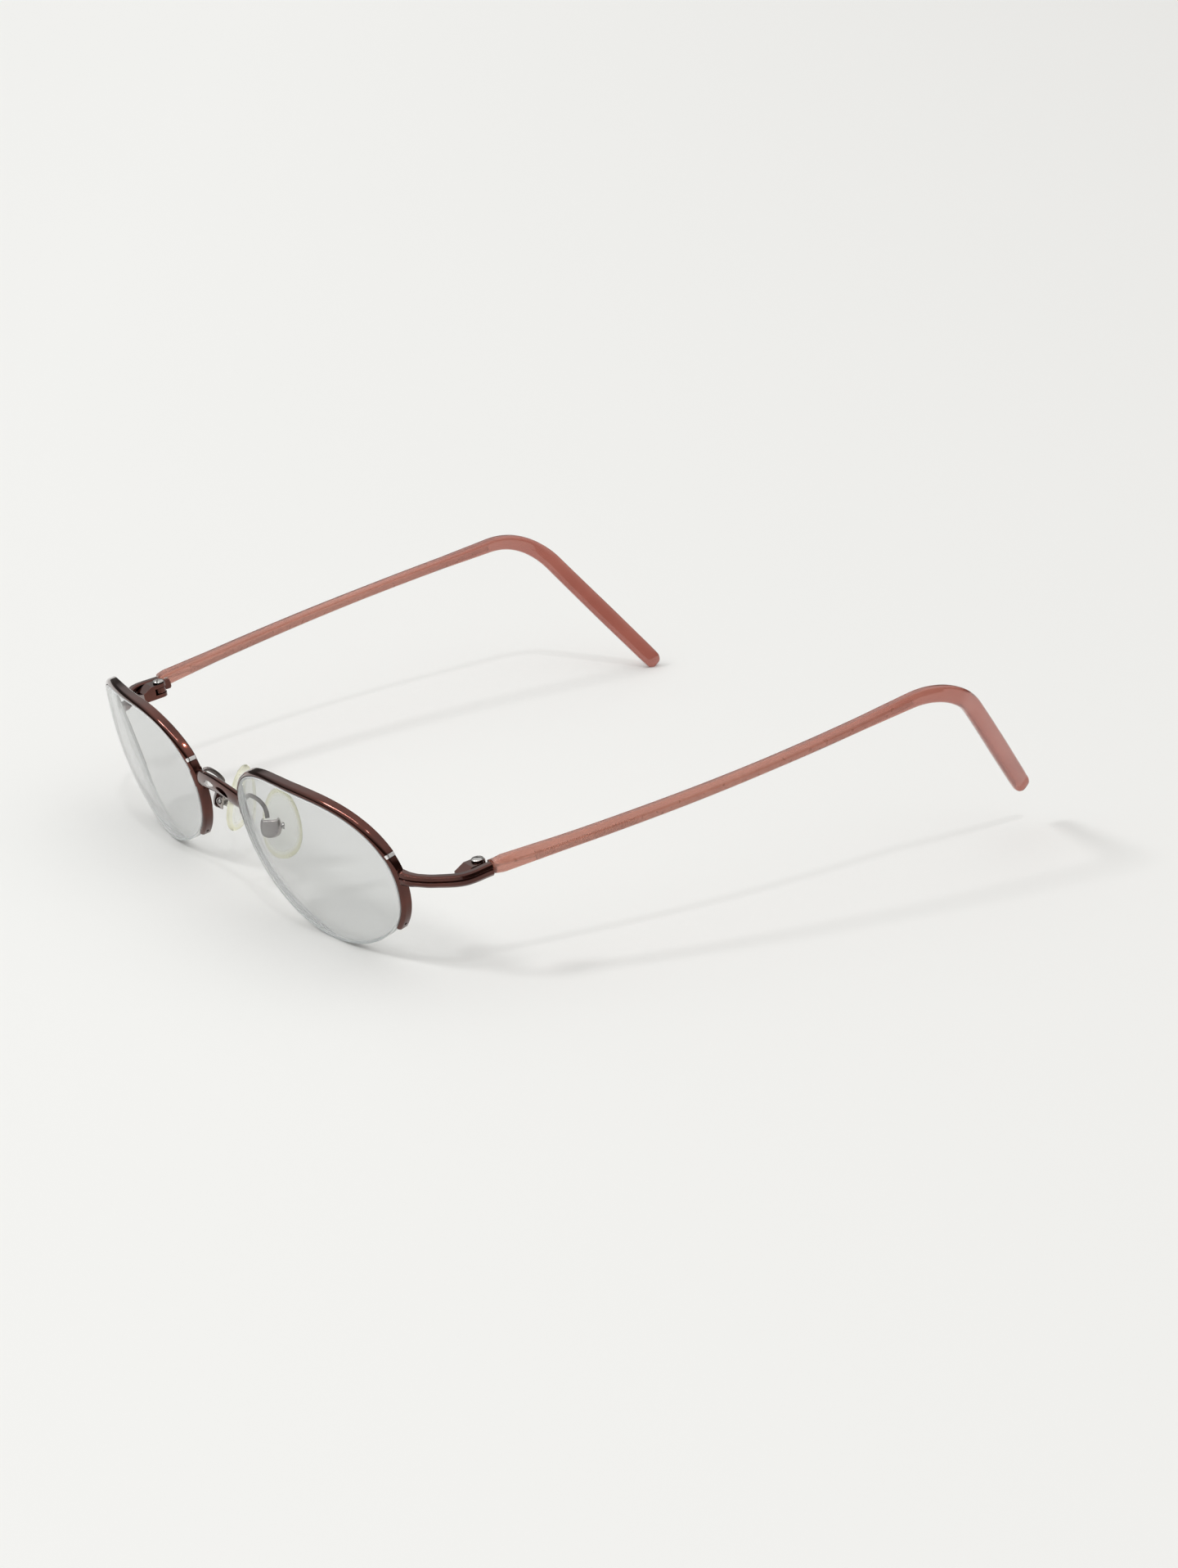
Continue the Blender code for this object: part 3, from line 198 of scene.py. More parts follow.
# Lenses
# Two curved lenses of clear optical plastic with the faintest grey tint. Their faces are
# polished, the ground edge is frosted, and a groove for the line and the liner is cut in it.
SIDES = (("left", 1), ("right", -1))
LENS_WIDTH = 0.0481
LENS_HEIGHT = 0.0311
LENS_THICKNESS = 0.0018
LENS_EDGE_SWELLING = 0.00030
LENS_FRONT_RADIUS = 0.0697
LENS_SQUARENESS = 2.2
OUTER_FULLNESS = 0.008
TOP_FULLNESS = 0.035
BROW_FLATNESS = 0.028
OUTER_DROP = 0.021
GROOVE_SETBACK = 0.00105
GROOVE_WIDTH = 0.00075
GROOVE_DEPTH = 0.0006
GROOVE_FULLNESS = 0.6
GROOVE_TURN = np.linspace(0.12, math.pi - 0.12, 7)
LENS_SAFETY_BEVEL = 0.0001
DISTANCE_BETWEEN_LENSES = 0.0207
WRAP = math.radians(6.9)
FRONT_TILT = math.radians(14.6)
ROUND_STEPS = 200
NUDGE = 1e-4
NOISE_LOW = 0.3
NOISE_HIGH = 0.7


def outline(angle):
    """A point of the lens outline, x towards the temple and y up."""
    half_width = LENS_WIDTH / 2
    half_height = LENS_HEIGHT / 2
    polar = math.atan2(half_height * math.sin(angle), half_width * math.cos(angle))
    across = abs(math.cos(polar)) / half_width
    upward = abs(math.sin(polar)) / half_height
    radius = (across**LENS_SQUARENESS + upward**LENS_SQUARENESS) ** (-1 / LENS_SQUARENESS)
    radius *= (1 + OUTER_FULLNESS * math.cos(polar) + TOP_FULLNESS * math.sin(polar)
               - OUTER_DROP * math.sin(2 * polar) + BROW_FLATNESS * math.sin(3 * polar))
    return np.array((radius * math.cos(polar), radius * math.sin(polar)))


def outward(angle):
    """The outline's outward direction in the lens plane."""
    run = outline(angle + NUDGE) - outline(angle - NUDGE)
    return np.array((run[1], -run[0])) / np.hypot(*run)


ACROSS = np.array((math.cos(WRAP), math.sin(WRAP), 0.0))
UPWARD = np.array((0.0, -math.sin(FRONT_TILT), math.cos(FRONT_TILT)))
UPWARD -= ACROSS * (UPWARD @ ACROSS)
UPWARD /= np.linalg.norm(UPWARD)
BACKWARD = np.cross(UPWARD, ACROSS)
NOSE_EDGE = outline(math.pi)[0]


def lens_point(x, y, depth, lift=0.0):
    """A point by its place in the lens plane and its depth behind the lens front."""
    from_nose = x - NOSE_EDGE
    sag = ((from_nose - LENS_WIDTH / 2) ** 2 + y**2) / (2 * LENS_FRONT_RADIUS)
    nose = np.array((DISTANCE_BETWEEN_LENSES / 2, FRONT_Y, lift))
    return nose + from_nose * ACROSS + y * UPWARD + (sag + depth) * BACKWARD


ROUND = [2 * math.pi * k / ROUND_STEPS for k in range(ROUND_STEPS)]
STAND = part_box("lens_left")[0].z - min(lens_point(*outline(a), 0.0)[2] for a in ROUND)


def on_rim(angle, out, depth):
    """A point round the lens: how far outside its edge, and how far behind its front."""
    x, y = outline(angle) + out * outward(angle)
    return lens_point(x, y, depth, STAND)


def mirrored(point, side):
    """The same point on the left or the right half."""
    return np.array((side * point[0], point[1], point[2]))


def skin(rings, poles=None):
    """A closed bmesh over a row of rings, with flat caps or with fans to two poles."""
    shape = bmesh.new()
    rows = [[shape.verts.new(Vector(point)) for point in ring] for ring in rings]
    count = len(rows[0])
    for near, far in zip(rows, rows[1:]):
        for k in range(count):
            after = (k + 1) % count
            shape.faces.new((near[k], near[after], far[after], far[k]))
    if poles is None:
        shape.faces.new(rows[0])
        shape.faces.new(rows[-1])
        return shape
    for row, point in zip((rows[0], rows[-1]), poles):
        tip = shape.verts.new(Vector(point))
        for k in range(count):
            shape.faces.new((row[k], row[(k + 1) % count], tip))
    return shape


def piece(name, shape, finishes, sharp=35.0):
    """Makes a named object of a bmesh, facing out and shaded smooth up to a sharp angle."""
    bmesh.ops.recalc_face_normals(shape, faces=shape.faces)
    if shape.calc_volume(signed=True) < 0:
        bmesh.ops.reverse_faces(shape, faces=shape.faces)
    mesh = bpy.data.meshes.new(name)
    shape.to_mesh(mesh)
    shape.free()
    for material in finishes:
        mesh.materials.append(material)
    mesh.shade_smooth()
    mesh.set_sharp_from_angle(angle=math.radians(sharp))
    thing = bpy.data.objects.new(name, mesh)
    scene.collection.objects.link(thing)
    return thing


def fit(thing, body, node):
    """Hands a piece to its body and the node that it stands for."""
    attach(thing, body)
    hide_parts(node)


def speckle(tree, scale, detail=3.0, stretch=(1.0, 1.0, 1.0)):
    """A noise over the object's own coordinates, stretched along any of its axes."""
    where = tree.nodes.new("ShaderNodeTexCoord")
    mapping = tree.nodes.new("ShaderNodeMapping")
    mapping.inputs["Scale"].default_value = stretch
    noise = tree.nodes.new("ShaderNodeTexNoise")
    noise.inputs["Scale"].default_value = scale
    noise.inputs["Detail"].default_value = detail
    tree.links.new(where.outputs["Object"], mapping.inputs["Vector"])
    tree.links.new(mapping.outputs["Vector"], noise.inputs["Vector"])
    return noise.outputs["Fac"]


def spread_value(tree, source, low, high):
    """Maps a noise to a range, for a roughness or a weight."""
    spread = tree.nodes.new("ShaderNodeMapRange")
    spread.inputs["From Min"].default_value = NOISE_LOW
    spread.inputs["From Max"].default_value = NOISE_HIGH
    spread.inputs["To Min"].default_value = low
    spread.inputs["To Max"].default_value = high
    tree.links.new(source, spread.inputs["Value"])
    return spread.outputs["Result"]


def blend_color(tree, source, first, second):
    """Blends two colours by a noise."""
    ramp = tree.nodes.new("ShaderNodeValToRGB")
    ramp.color_ramp.elements[0].position = NOISE_LOW
    ramp.color_ramp.elements[0].color = (*first, 1.0)
    ramp.color_ramp.elements[1].position = NOISE_HIGH
    ramp.color_ramp.elements[1].color = (*second, 1.0)
    tree.links.new(source, ramp.inputs["Fac"])
    return ramp.outputs["Color"]


def mixed_finish(name, sockets, colors, grain, roughness, fine, relief=None):
    """A material clouded between two colours, of finely varied roughness and perhaps relief."""
    made, tree, shader = new_material(name)
    for socket, value in sockets.items():
        shader.inputs[socket].default_value = value
    tree.links.new(blend_color(tree, speckle(tree, *grain), *colors), shader.inputs["Base Color"])
    tree.links.new(spread_value(tree, speckle(tree, *fine), *roughness), shader.inputs["Roughness"])
    if relief:
        noise, strength, depth = relief
        bump = tree.nodes.new("ShaderNodeBump")
        bump.inputs["Strength"].default_value = strength
        bump.inputs["Distance"].default_value = depth
        tree.links.new(speckle(tree, *noise), bump.inputs["Height"])
        tree.links.new(bump.outputs["Normal"], shader.inputs["Normal"])
    return made


lens_face = mixed_finish(
    "lens_face", {"Transmission Weight": 1.0, "IOR": 1.16},
    ((0.725, 0.735, 0.735), (0.755, 0.765, 0.765)),
    grain=(60.0,), roughness=(0.0, 0.03), fine=(400.0,))
lens_edge = mixed_finish(
    "lens_edge", {"IOR": 1.5}, ((0.74, 0.76, 0.76), (0.84, 0.85, 0.85)),
    grain=(2500.0, 4.0), roughness=(0.45, 0.65), fine=(2500.0, 4.0),
    relief=((2500.0, 4.0), 0.25, 0.00005))

reach = GROOVE_WIDTH / 2
bevel = LENS_SAFETY_BEVEL
edge_back = LENS_THICKNESS + LENS_EDGE_SWELLING
lens_edge_line = [
    (-bevel, 0.0), (0.0, bevel), (0.0, GROOVE_SETBACK - reach),
    *((-GROOVE_DEPTH * math.sin(t) ** GROOVE_FULLNESS, GROOVE_SETBACK - reach * math.cos(t))
      for t in GROOVE_TURN),
    (0.0, GROOVE_SETBACK + reach), (0.0, edge_back - bevel), (-bevel, edge_back),
]
lens_shares = [0.12, 0.24, 0.36, 0.48, 0.6, 0.7, 0.8, 0.88, 0.95]
for word, side in SIDES:
    rings = [[lens_point(*(share * outline(a)), 0.0, STAND) for a in ROUND] for share in lens_shares]
    rings += [[on_rim(a, out, depth) for a in ROUND] for out, depth in lens_edge_line]
    for share in reversed(lens_shares):
        back = LENS_THICKNESS + LENS_EDGE_SWELLING * share**4
        rings.append([lens_point(*(share * outline(a)), back, STAND) for a in ROUND])
    poles = [mirrored(lens_point(0.0, 0.0, depth, STAND), side) for depth in (0.0, LENS_THICKNESS)]
    shape = skin([[mirrored(p, side) for p in ring] for ring in rings], poles)
    shape.faces.ensure_lookup_table()
    first_edge = len(lens_shares) * ROUND_STEPS
    last_edge = first_edge + (len(lens_edge_line) - 1) * ROUND_STEPS
    for face in shape.faces[first_edge:last_edge]:
        face.material_index = 1
    lens = piece(f"clear_lens_{word}", shape, (lens_face, lens_edge), sharp=30.0)
    fit(lens, "front", f"lens_{word}")

# Half-rims
# Each is drawn from plated metal wire: a slim leg, a taller bevelled brow between two milled
# steps whose polished facets carry a near-white painted highlight, and a second leg. A channel
# on the lens side takes the liner, and a hole near either end takes the nylon line.
SEAM = 0.00015
RIM_BACK = 0.0021
LEG_SETBACK = 0.00015
LEG_HEIGHT = 0.00095
LEG_BEVEL = 0.0004
BROW_SETBACK = 0.00005
BROW_HEIGHT = 0.00108
BROW_BEVEL = 0.0006
RIM_CHAMFER = 0.00025
LINER_WIDTH = 0.0009
CHANNEL_DEPTH = 0.0005
RIM_OUTER_END = math.radians(-30.5)
BROW_OUTER_END = math.radians(26.1)
BROW_NOSE_END = math.radians(151.5)
RIM_NOSE_END = math.radians(216.5)
BROW_STEP = math.radians(3.0)
BROW_SLIMMING = 0.00025
BROW_SLIM_AT = np.radians((84.0, 104.0, 134.0, 148.0))
BEVEL_FULLNESS = 0.8
BEVEL_TURN = np.linspace(0.0, math.pi / 2, 7)
RIM_SOFTENING = 0.00007
WELD_DISTANCE = 2e-6
ARC_STEP = math.radians(0.25)
PAINTED_HIGHLIGHT_RUNS = (
    (BROW_OUTER_END - 0.85 * BROW_STEP, BROW_OUTER_END - 0.12 * BROW_STEP),
    (BROW_NOSE_END + 0.12 * BROW_STEP, BROW_NOSE_END + 0.85 * BROW_STEP),
)
# Faces that carry the painted highlight: the section's outer side and the middle of its rounded
# bevel.
PAINTED_HIGHLIGHT_FACES = (6, 8, 9, 10, 11)
SEAM_SHADE = 0.00012
RIM_STEPS = 190
LINE_HOLE_INSET = 0.0013
LINE_DIAMETER = 0.00045


def soften(thing, width, segments=3, angle=30.0, weld=False):
    """Rounds a piece's sharp edges a little, as tumbling and polishing do."""
    if weld:
        thing.modifiers.new("weld", "WELD").merge_threshold = WELD_DISTANCE
    edges = thing.modifiers.new("soft_edges", "BEVEL")
    edges.width = width
    edges.segments = segments
    edges.limit_method = "ANGLE"
    edges.angle_limit = math.radians(angle)
    edges.use_clamp_overlap = True
    edges.harden_normals = True


plated_metal = mixed_finish(
    "burgundy_plating", {"Metallic": 1.0, "Coat Weight": 0.65, "Coat Roughness": 0.03},
    ((0.060, 0.0150, 0.0095), (0.108, 0.028, 0.0165)),
    grain=(150.0,), roughness=(0.10, 0.17), fine=(700.0,), relief=((1800.0,), 0.02, 0.00002))
# The step facets' near-white, part-diffuse colour is a painted highlight for the glint they catch.
painted_highlight_facet = mixed_finish(
    "polished_step_facet", {"Metallic": 0.45}, ((0.90, 0.88, 0.87), (0.98, 0.97, 0.96)),
    grain=(900.0,), roughness=(0.05, 0.12), fine=(900.0,))


def rim_profile(front, height, bevel):
    """Half-rim section with the liner channel on the lens side, bevelled at the front."""
    channel = LINER_WIDTH / 2 + SEAM
    rounded = [
        (height - bevel * (1 - math.cos(t)) ** BEVEL_FULLNESS,
         front + bevel * (1 - math.sin(t)) ** BEVEL_FULLNESS) for t in BEVEL_TURN
    ]
    return np.array((
        (SEAM, GROOVE_SETBACK - channel), (SEAM + CHANNEL_DEPTH, GROOVE_SETBACK - channel),
        (SEAM + CHANNEL_DEPTH, GROOVE_SETBACK + channel), (SEAM, GROOVE_SETBACK + channel),
        (SEAM, RIM_BACK), (height - RIM_CHAMFER, RIM_BACK), (height, RIM_BACK - RIM_CHAMFER),
        *rounded, (SEAM + SEAM_SHADE, front), (SEAM, front + SEAM_SHADE),
    ))


def arc_angle(start, distance):
    """The outline angle that lies a given distance along the outline from a start angle."""
    step = ARC_STEP if distance > 0 else -ARC_STEP
    angle = start
    gone = 0.0
    while gone < abs(distance):
        gone += np.hypot(*(outline(angle + step) - outline(angle)))
        angle += step
    return angle


def circle(centre, direction, radius, sides):
    """A ring of points round a centre, square to a direction."""
    direction = np.asarray(direction, float) / np.linalg.norm(direction)
    helper = np.array((0.0, 0.0, 1.0)) if abs(direction[0]) > 0.8 else np.array((1.0, 0.0, 0.0))
    first = np.cross(direction, helper)
    first /= np.linalg.norm(first)
    second = np.cross(direction, first)
    return [np.asarray(centre) + radius * (math.cos(t) * first + math.sin(t) * second)
            for t in (2 * math.pi * k / sides for k in range(sides))]


def round_bar(start, stop, radius, sides=24):
    """A straight round bar between two points."""
    run = np.asarray(stop) - np.asarray(start)
    return skin([circle(start, run, radius, sides), circle(stop, run, radius, sides)])


def cut(thing, shape, operation="DIFFERENCE"):
    """Cuts a shape out of a piece, or joins it on."""
    other = piece("other", shape, ())
    step = thing.modifiers.new("cut", "BOOLEAN")
    step.operation = operation
    step.solver = "EXACT"
    step.object = other
    bpy.context.view_layer.update()
    depsgraph = bpy.context.evaluated_depsgraph_get()
    mesh = bpy.data.meshes.new_from_object(thing.evaluated_get(depsgraph))
    thing.modifiers.clear()
    thing.data = mesh
    bpy.data.objects.remove(other, do_unlink=True)


LEG = rim_profile(LEG_SETBACK, LEG_HEIGHT, LEG_BEVEL)
OUTER_HOLE = arc_angle(RIM_OUTER_END, LINE_HOLE_INSET)
NOSE_HOLE = arc_angle(RIM_NOSE_END, -LINE_HOLE_INSET)
step_angles = (BROW_OUTER_END - BROW_STEP, BROW_OUTER_END, BROW_NOSE_END, BROW_NOSE_END + BROW_STEP)
stations = sorted([*np.linspace(RIM_OUTER_END, RIM_NOSE_END, RIM_STEPS), *step_angles,
                   *PAINTED_HIGHLIGHT_RUNS[0], *PAINTED_HIGHLIGHT_RUNS[1]])
for word, side in SIDES:
    rings = []
    for angle in stations:
        brow = np.interp(angle, step_angles, (0, 1, 1, 0))
        slim = np.interp(angle, BROW_SLIM_AT, (0, 1, 1, 0))
        slim_brow = rim_profile(BROW_SETBACK, BROW_HEIGHT - slim * BROW_SLIMMING, BROW_BEVEL)
        profile = LEG + brow * (slim_brow - LEG)
        rings.append([mirrored(on_rim(angle, out, depth), side) for out, depth in profile])
    shape = skin(rings)
    shape.faces.ensure_lookup_table()
    # The step facets' faces take the near-white painted highlight.
    for k, (near, far) in enumerate(zip(stations, stations[1:])):
        if any(first <= near and far <= last for first, last in PAINTED_HIGHLIGHT_RUNS):
            for j in PAINTED_HIGHLIGHT_FACES:
                shape.faces[k * len(LEG) + j].material_index = 1
    rim = piece(f"half_rim_{word}", shape, (plated_metal, painted_highlight_facet), sharp=28.0)
    for angle in (OUTER_HOLE, NOSE_HOLE):
        start = mirrored(on_rim(angle, -LEG_HEIGHT, GROOVE_SETBACK), side)
        stop = mirrored(on_rim(angle, 2 * LEG_HEIGHT, GROOVE_SETBACK), side)
        cut(rim, round_bar(start, stop, LINE_DIAMETER / 2 + SEAM / 2))
    soften(rim, RIM_SOFTENING, 2, angle=24.0)
    fit(rim, "front", f"rim_{word}")

# Rim liners and nylon lines
# A nylon strip lies in each rim's channel and seats in the lens groove. The nylon line holds
# the lens from below, and each of its ends is turned out through a hole and flattened there.
LINER_RIDGE = 0.0004
LINER_SHORTENING = math.radians(4.0)
LINE_CORNER = 0.29
LINE_STEPS = 120
nylon = mixed_finish(
    "clear_grey_nylon", {"Transmission Weight": 0.2, "IOR": 1.53},
    ((0.12, 0.125, 0.12), (0.18, 0.185, 0.18)),
    grain=(500.0,), roughness=(0.22, 0.38), fine=(900.0,))


def tube(path, radii, sides):
    """A round tube along a path, with its own radius at each point."""
    path = [np.asarray(p, float) for p in path]
    rings = []
    normal = None
    for k, (centre, radius) in enumerate(zip(path, radii)):
        ahead = path[min(k + 1, len(path) - 1)] - path[max(k - 1, 0)]
        ahead /= np.linalg.norm(ahead)
        if normal is None:
            normal = np.cross(ahead, (0.3, 0.2, 1.0))
        normal = normal - ahead * (normal @ ahead)
        normal /= np.linalg.norm(normal)
        other = np.cross(ahead, normal)
        rings.append([centre + radius * (math.cos(t) * normal + math.sin(t) * other)
                      for t in (2 * math.pi * j / sides for j in range(sides))])
    return skin(rings)


seat = SEAM / 2 + LINE_DIAMETER / 2 - GROOVE_DEPTH
turn = LINE_DIAMETER
for word, side in SIDES:
    section = [(SEAM - GROOVE_DEPTH, LINER_RIDGE / 2), (2 * SEAM, LINER_RIDGE / 2),
               (2 * SEAM, LINER_WIDTH / 2), (CHANNEL_DEPTH, LINER_WIDTH / 2)]
    profile = [(out, GROOVE_SETBACK - across) for out, across in section]
    profile += [(out, GROOVE_SETBACK + across) for out, across in reversed(section)]
    rings = [
        [mirrored(on_rim(a, out, depth), side) for out, depth in profile]
        for a in np.linspace(
            OUTER_HOLE + LINER_SHORTENING, NOSE_HOLE - LINER_SHORTENING, LINE_STEPS)
    ]
    liner = piece(f"nylon_liner_{word}", skin(rings), (nylon,))
    fit(liner, "front", f"rim_liner_{word}")
    first, last = arc_angle(NOSE_HOLE, turn), arc_angle(OUTER_HOLE, -turn) + 2 * math.pi
    corner = turn * LINE_CORNER
    route = [(NOSE_HOLE, LEG_HEIGHT - SEAM), (NOSE_HOLE, seat + turn)]
    route += [(arc_angle(NOSE_HOLE, corner), seat + corner)]
    route += [(a, seat) for a in np.linspace(first, last, LINE_STEPS)]
    route += [(arc_angle(OUTER_HOLE, -corner), seat + corner)]
    route += [(OUTER_HOLE, seat + turn), (OUTER_HOLE, LEG_HEIGHT - SEAM)]
    path = [mirrored(on_rim(a, out, GROOVE_SETBACK), side) for a, out in route]
    thread = tube(path, [LINE_DIAMETER / 2] * len(path), sides=14)
    line = piece(f"nylon_thread_{word}", thread, (nylon,))
    fit(line, "front", f"nylon_line_{word}")

# Bridge
# One sculpted casting, plated like the rims and brazed to both. It is pierced by a drop-shaped
# window beside either foot, and a collar at each foot wraps the leg of the rim.
BRIDGE_RISE = 0.0010
BRIDGE_WAIST = 0.0033
BRIDGE_FOOT = 0.0034
BRIDGE_DEPTH = 0.0017
BRIDGE_FORWARD = 0.0006
BRIDGE_SLOPE = math.radians(29.0)
BRIDGE_PLACE = math.radians(165.5)
WINDOW_LENGTH = 0.0044
WINDOW_HEIGHT = 0.0010
WINDOW_LOWERING = 0.0005
WINDOW_PLACE = 0.0038
COLLAR_SPREAD = 0.00016
COLLAR_ARC = (math.radians(-6.0), math.radians(5.0))
WINDOW_TOE_IN = math.radians(48.0)
WINDOW_SWELLING = 0.35
WINDOW_SIDES = 32
BRIDGE_SQUARENESS = 2.2
BRIDGE_ARCHING = 1.8
BRIDGE_STEPS = 91
BRIDGE_SIDES = 36
BRIDGE_ON_RIM = (158.0, 205.0)
BRIDGE_SOFTENING = 0.00010
LEAN = BACKWARD[0] / BACKWARD[1]


def superellipse(angle, half_a, half_b, power):
    """A point of a squarish oval."""
    c, s = math.cos(angle), math.sin(angle)
    return (math.copysign(abs(c) ** (2 / power), c) * half_a,
            math.copysign(abs(s) ** (2 / power), s) * half_b)


def rim_face(low_angle, high_angle):
    """Heights, x and y of the rim's outer side over a stretch of the outline."""
    angles = np.radians(np.linspace(low_angle, high_angle, 40))
    points = [on_rim(a, LEG_HEIGHT + SEAM, GROOVE_SETBACK) for a in angles]
    return np.array(sorted(points, key=lambda p: p[2])).T


face_x, face_y, face_z = rim_face(*BRIDGE_ON_RIM)
foot = on_rim(BRIDGE_PLACE, LEG_HEIGHT, GROOVE_SETBACK)


def bridge_line(s):
    """Depth and height of the bridge's centreline, from foot to foot."""
    return (foot[1] - BRIDGE_FORWARD * (1 - s * s),
            foot[2] + BRIDGE_RISE * (1 - abs(s) ** BRIDGE_ARCHING))


rings = []
for s in np.linspace(-1.0, 1.0, BRIDGE_STEPS):
    tall = BRIDGE_WAIST + (BRIDGE_FOOT - BRIDGE_WAIST) * abs(s) ** BRIDGE_ARCHING
    middle_y, middle_z = bridge_line(s)
    ring = []
    for k in range(BRIDGE_SIDES):
        turned = 2 * math.pi * (k + 0.5) / BRIDGE_SIDES
        y, z = superellipse(turned, BRIDGE_DEPTH / 2, tall / 2, BRIDGE_SQUARENESS)
        z -= math.tan(BRIDGE_SLOPE) * y
        half_gap = np.interp(middle_z + z, face_z, face_x)
        lean = LEAN * (middle_y + y - np.interp(middle_z + z, face_z, face_y))
        ring.append((s * (half_gap + lean), middle_y + y, middle_z + z))
    rings.append(ring)
bridge = piece("cast_bridge", skin(rings), (plated_metal,))
for _, side in SIDES:
    through = np.array((
        math.sin(WINDOW_TOE_IN),
        math.cos(WINDOW_TOE_IN) * math.cos(BRIDGE_SLOPE),
        -math.cos(WINDOW_TOE_IN) * math.sin(BRIDGE_SLOPE),
    ))
    square = np.array((0.0, math.sin(BRIDGE_SLOPE), math.cos(BRIDGE_SLOPE)))
    ring = []
    for k in range(WINDOW_SIDES):
        turned = 2 * math.pi * k / WINDOW_SIDES
        a, b = superellipse(turned, WINDOW_LENGTH / 2, WINDOW_HEIGHT / 2, 2.0)
        swell = 1 + WINDOW_SWELLING * a / (WINDOW_LENGTH / 2)
        x = WINDOW_PLACE + a
        y, z = bridge_line(x / foot[0])
        ring.append(np.array((x, y, z - WINDOW_LOWERING)) + b * swell * square)
    cut(bridge, skin([
        [mirrored(p + way * 2 * BRIDGE_DEPTH * through, side) for p in ring] for way in (-1, 1)
    ]))
for _, side in SIDES:
    collar = rim_profile(LEG_SETBACK - COLLAR_SPREAD, LEG_HEIGHT + COLLAR_SPREAD, LEG_BEVEL)
    rings = [[mirrored(on_rim(BRIDGE_PLACE + turned, out, depth), side) for out, depth in collar]
             for turned in np.linspace(*COLLAR_ARC, 12)]
    cut(bridge, skin(rings), "UNION")
soften(bridge, BRIDGE_SOFTENING, 3, angle=40.0)
fit(bridge, "front", "bridge")

# Endpieces
# Swept castings brazed to the rims. They turn round the corner of the face, carry a crease
# along the side and end square against the temples.
ENDPIECE_THICKNESS = 0.0018
ENDPIECE_ROOT_HEIGHT = 0.0027
ENDPIECE_NECK_HEIGHT = 0.0021
ENDPIECE_END_HEIGHT = 0.0024
ENDPIECE_END = 0.00105
ENDPIECE_DROP = 0.0003
ENDPIECE_PLACE = math.radians(10.0)
TEMPLE_PITCH = math.radians(7.2)
TEMPLE_SET_OUT = 0.0028
TEMPLE_SET_UP = 0.0007
LEAF_REACH = 0.0042
BUTT_GAP = 0.0003
ENDPIECE_ROOT_WAY = (1.0, 0.1, 0.0)
ENDPIECE_SWEEP = ((0.0016, 0.0005), (0.0034, 0.0018), (0.0052, 0.0038))
ENDPIECE_HEIGHT_AT = (0.0, 0.35, 0.6, 1.0)
ENDPIECE_HEIGHTS = (
    ENDPIECE_ROOT_HEIGHT, ENDPIECE_NECK_HEIGHT, ENDPIECE_NECK_HEIGHT, ENDPIECE_END_HEIGHT)
ENDPIECE_ON_RIM = (-26.0, 21.0)
ENDPIECE_SOFTENING = 0.00014
ALONG = np.array((0.0, math.cos(TEMPLE_PITCH), math.sin(TEMPLE_PITCH)))
AXIS = np.array((0.0, -math.sin(TEMPLE_PITCH), math.cos(TEMPLE_PITCH)))
HINGE_POINT = joint_spot["temple_fold_left"]
ENDPIECE_PROFILE = (
    (0.30, -0.50), (0.50, -0.30), (0.50, -0.02), (0.30, 0.06), (0.44, 0.14), (0.36, 0.40),
    (0.16, 0.50), (-0.34, 0.50), (-0.50, 0.36), (-0.50, -0.36), (-0.32, -0.50),
)


def at_hinge(out, back, up):
    """A point in the hinge's frame, from the middle of the hinge axis."""
    return HINGE_POINT + np.array((out, 0.0, 0.0)) + back * ALONG + up * AXIS


def smooth_path(knots, steps):
    """Points on a Catmull-Rom curve through the knots, evenly many between each pair."""
    knots = [np.asarray(k, float) for k in knots]
    padded = [2 * knots[0] - knots[1], *knots, 2 * knots[-1] - knots[-2]]
    path = []
    for a, b, c, d in zip(padded, padded[1:], padded[2:], padded[3:]):
        for t in np.arange(steps) / steps:
            path.append(0.5 * (2 * b + (c - a) * t + (2 * a - 5 * b + 4 * c - d) * t**2
                               + (3 * b - a - 3 * c + d) * t**3))
    path.append(knots[-1])
    return path


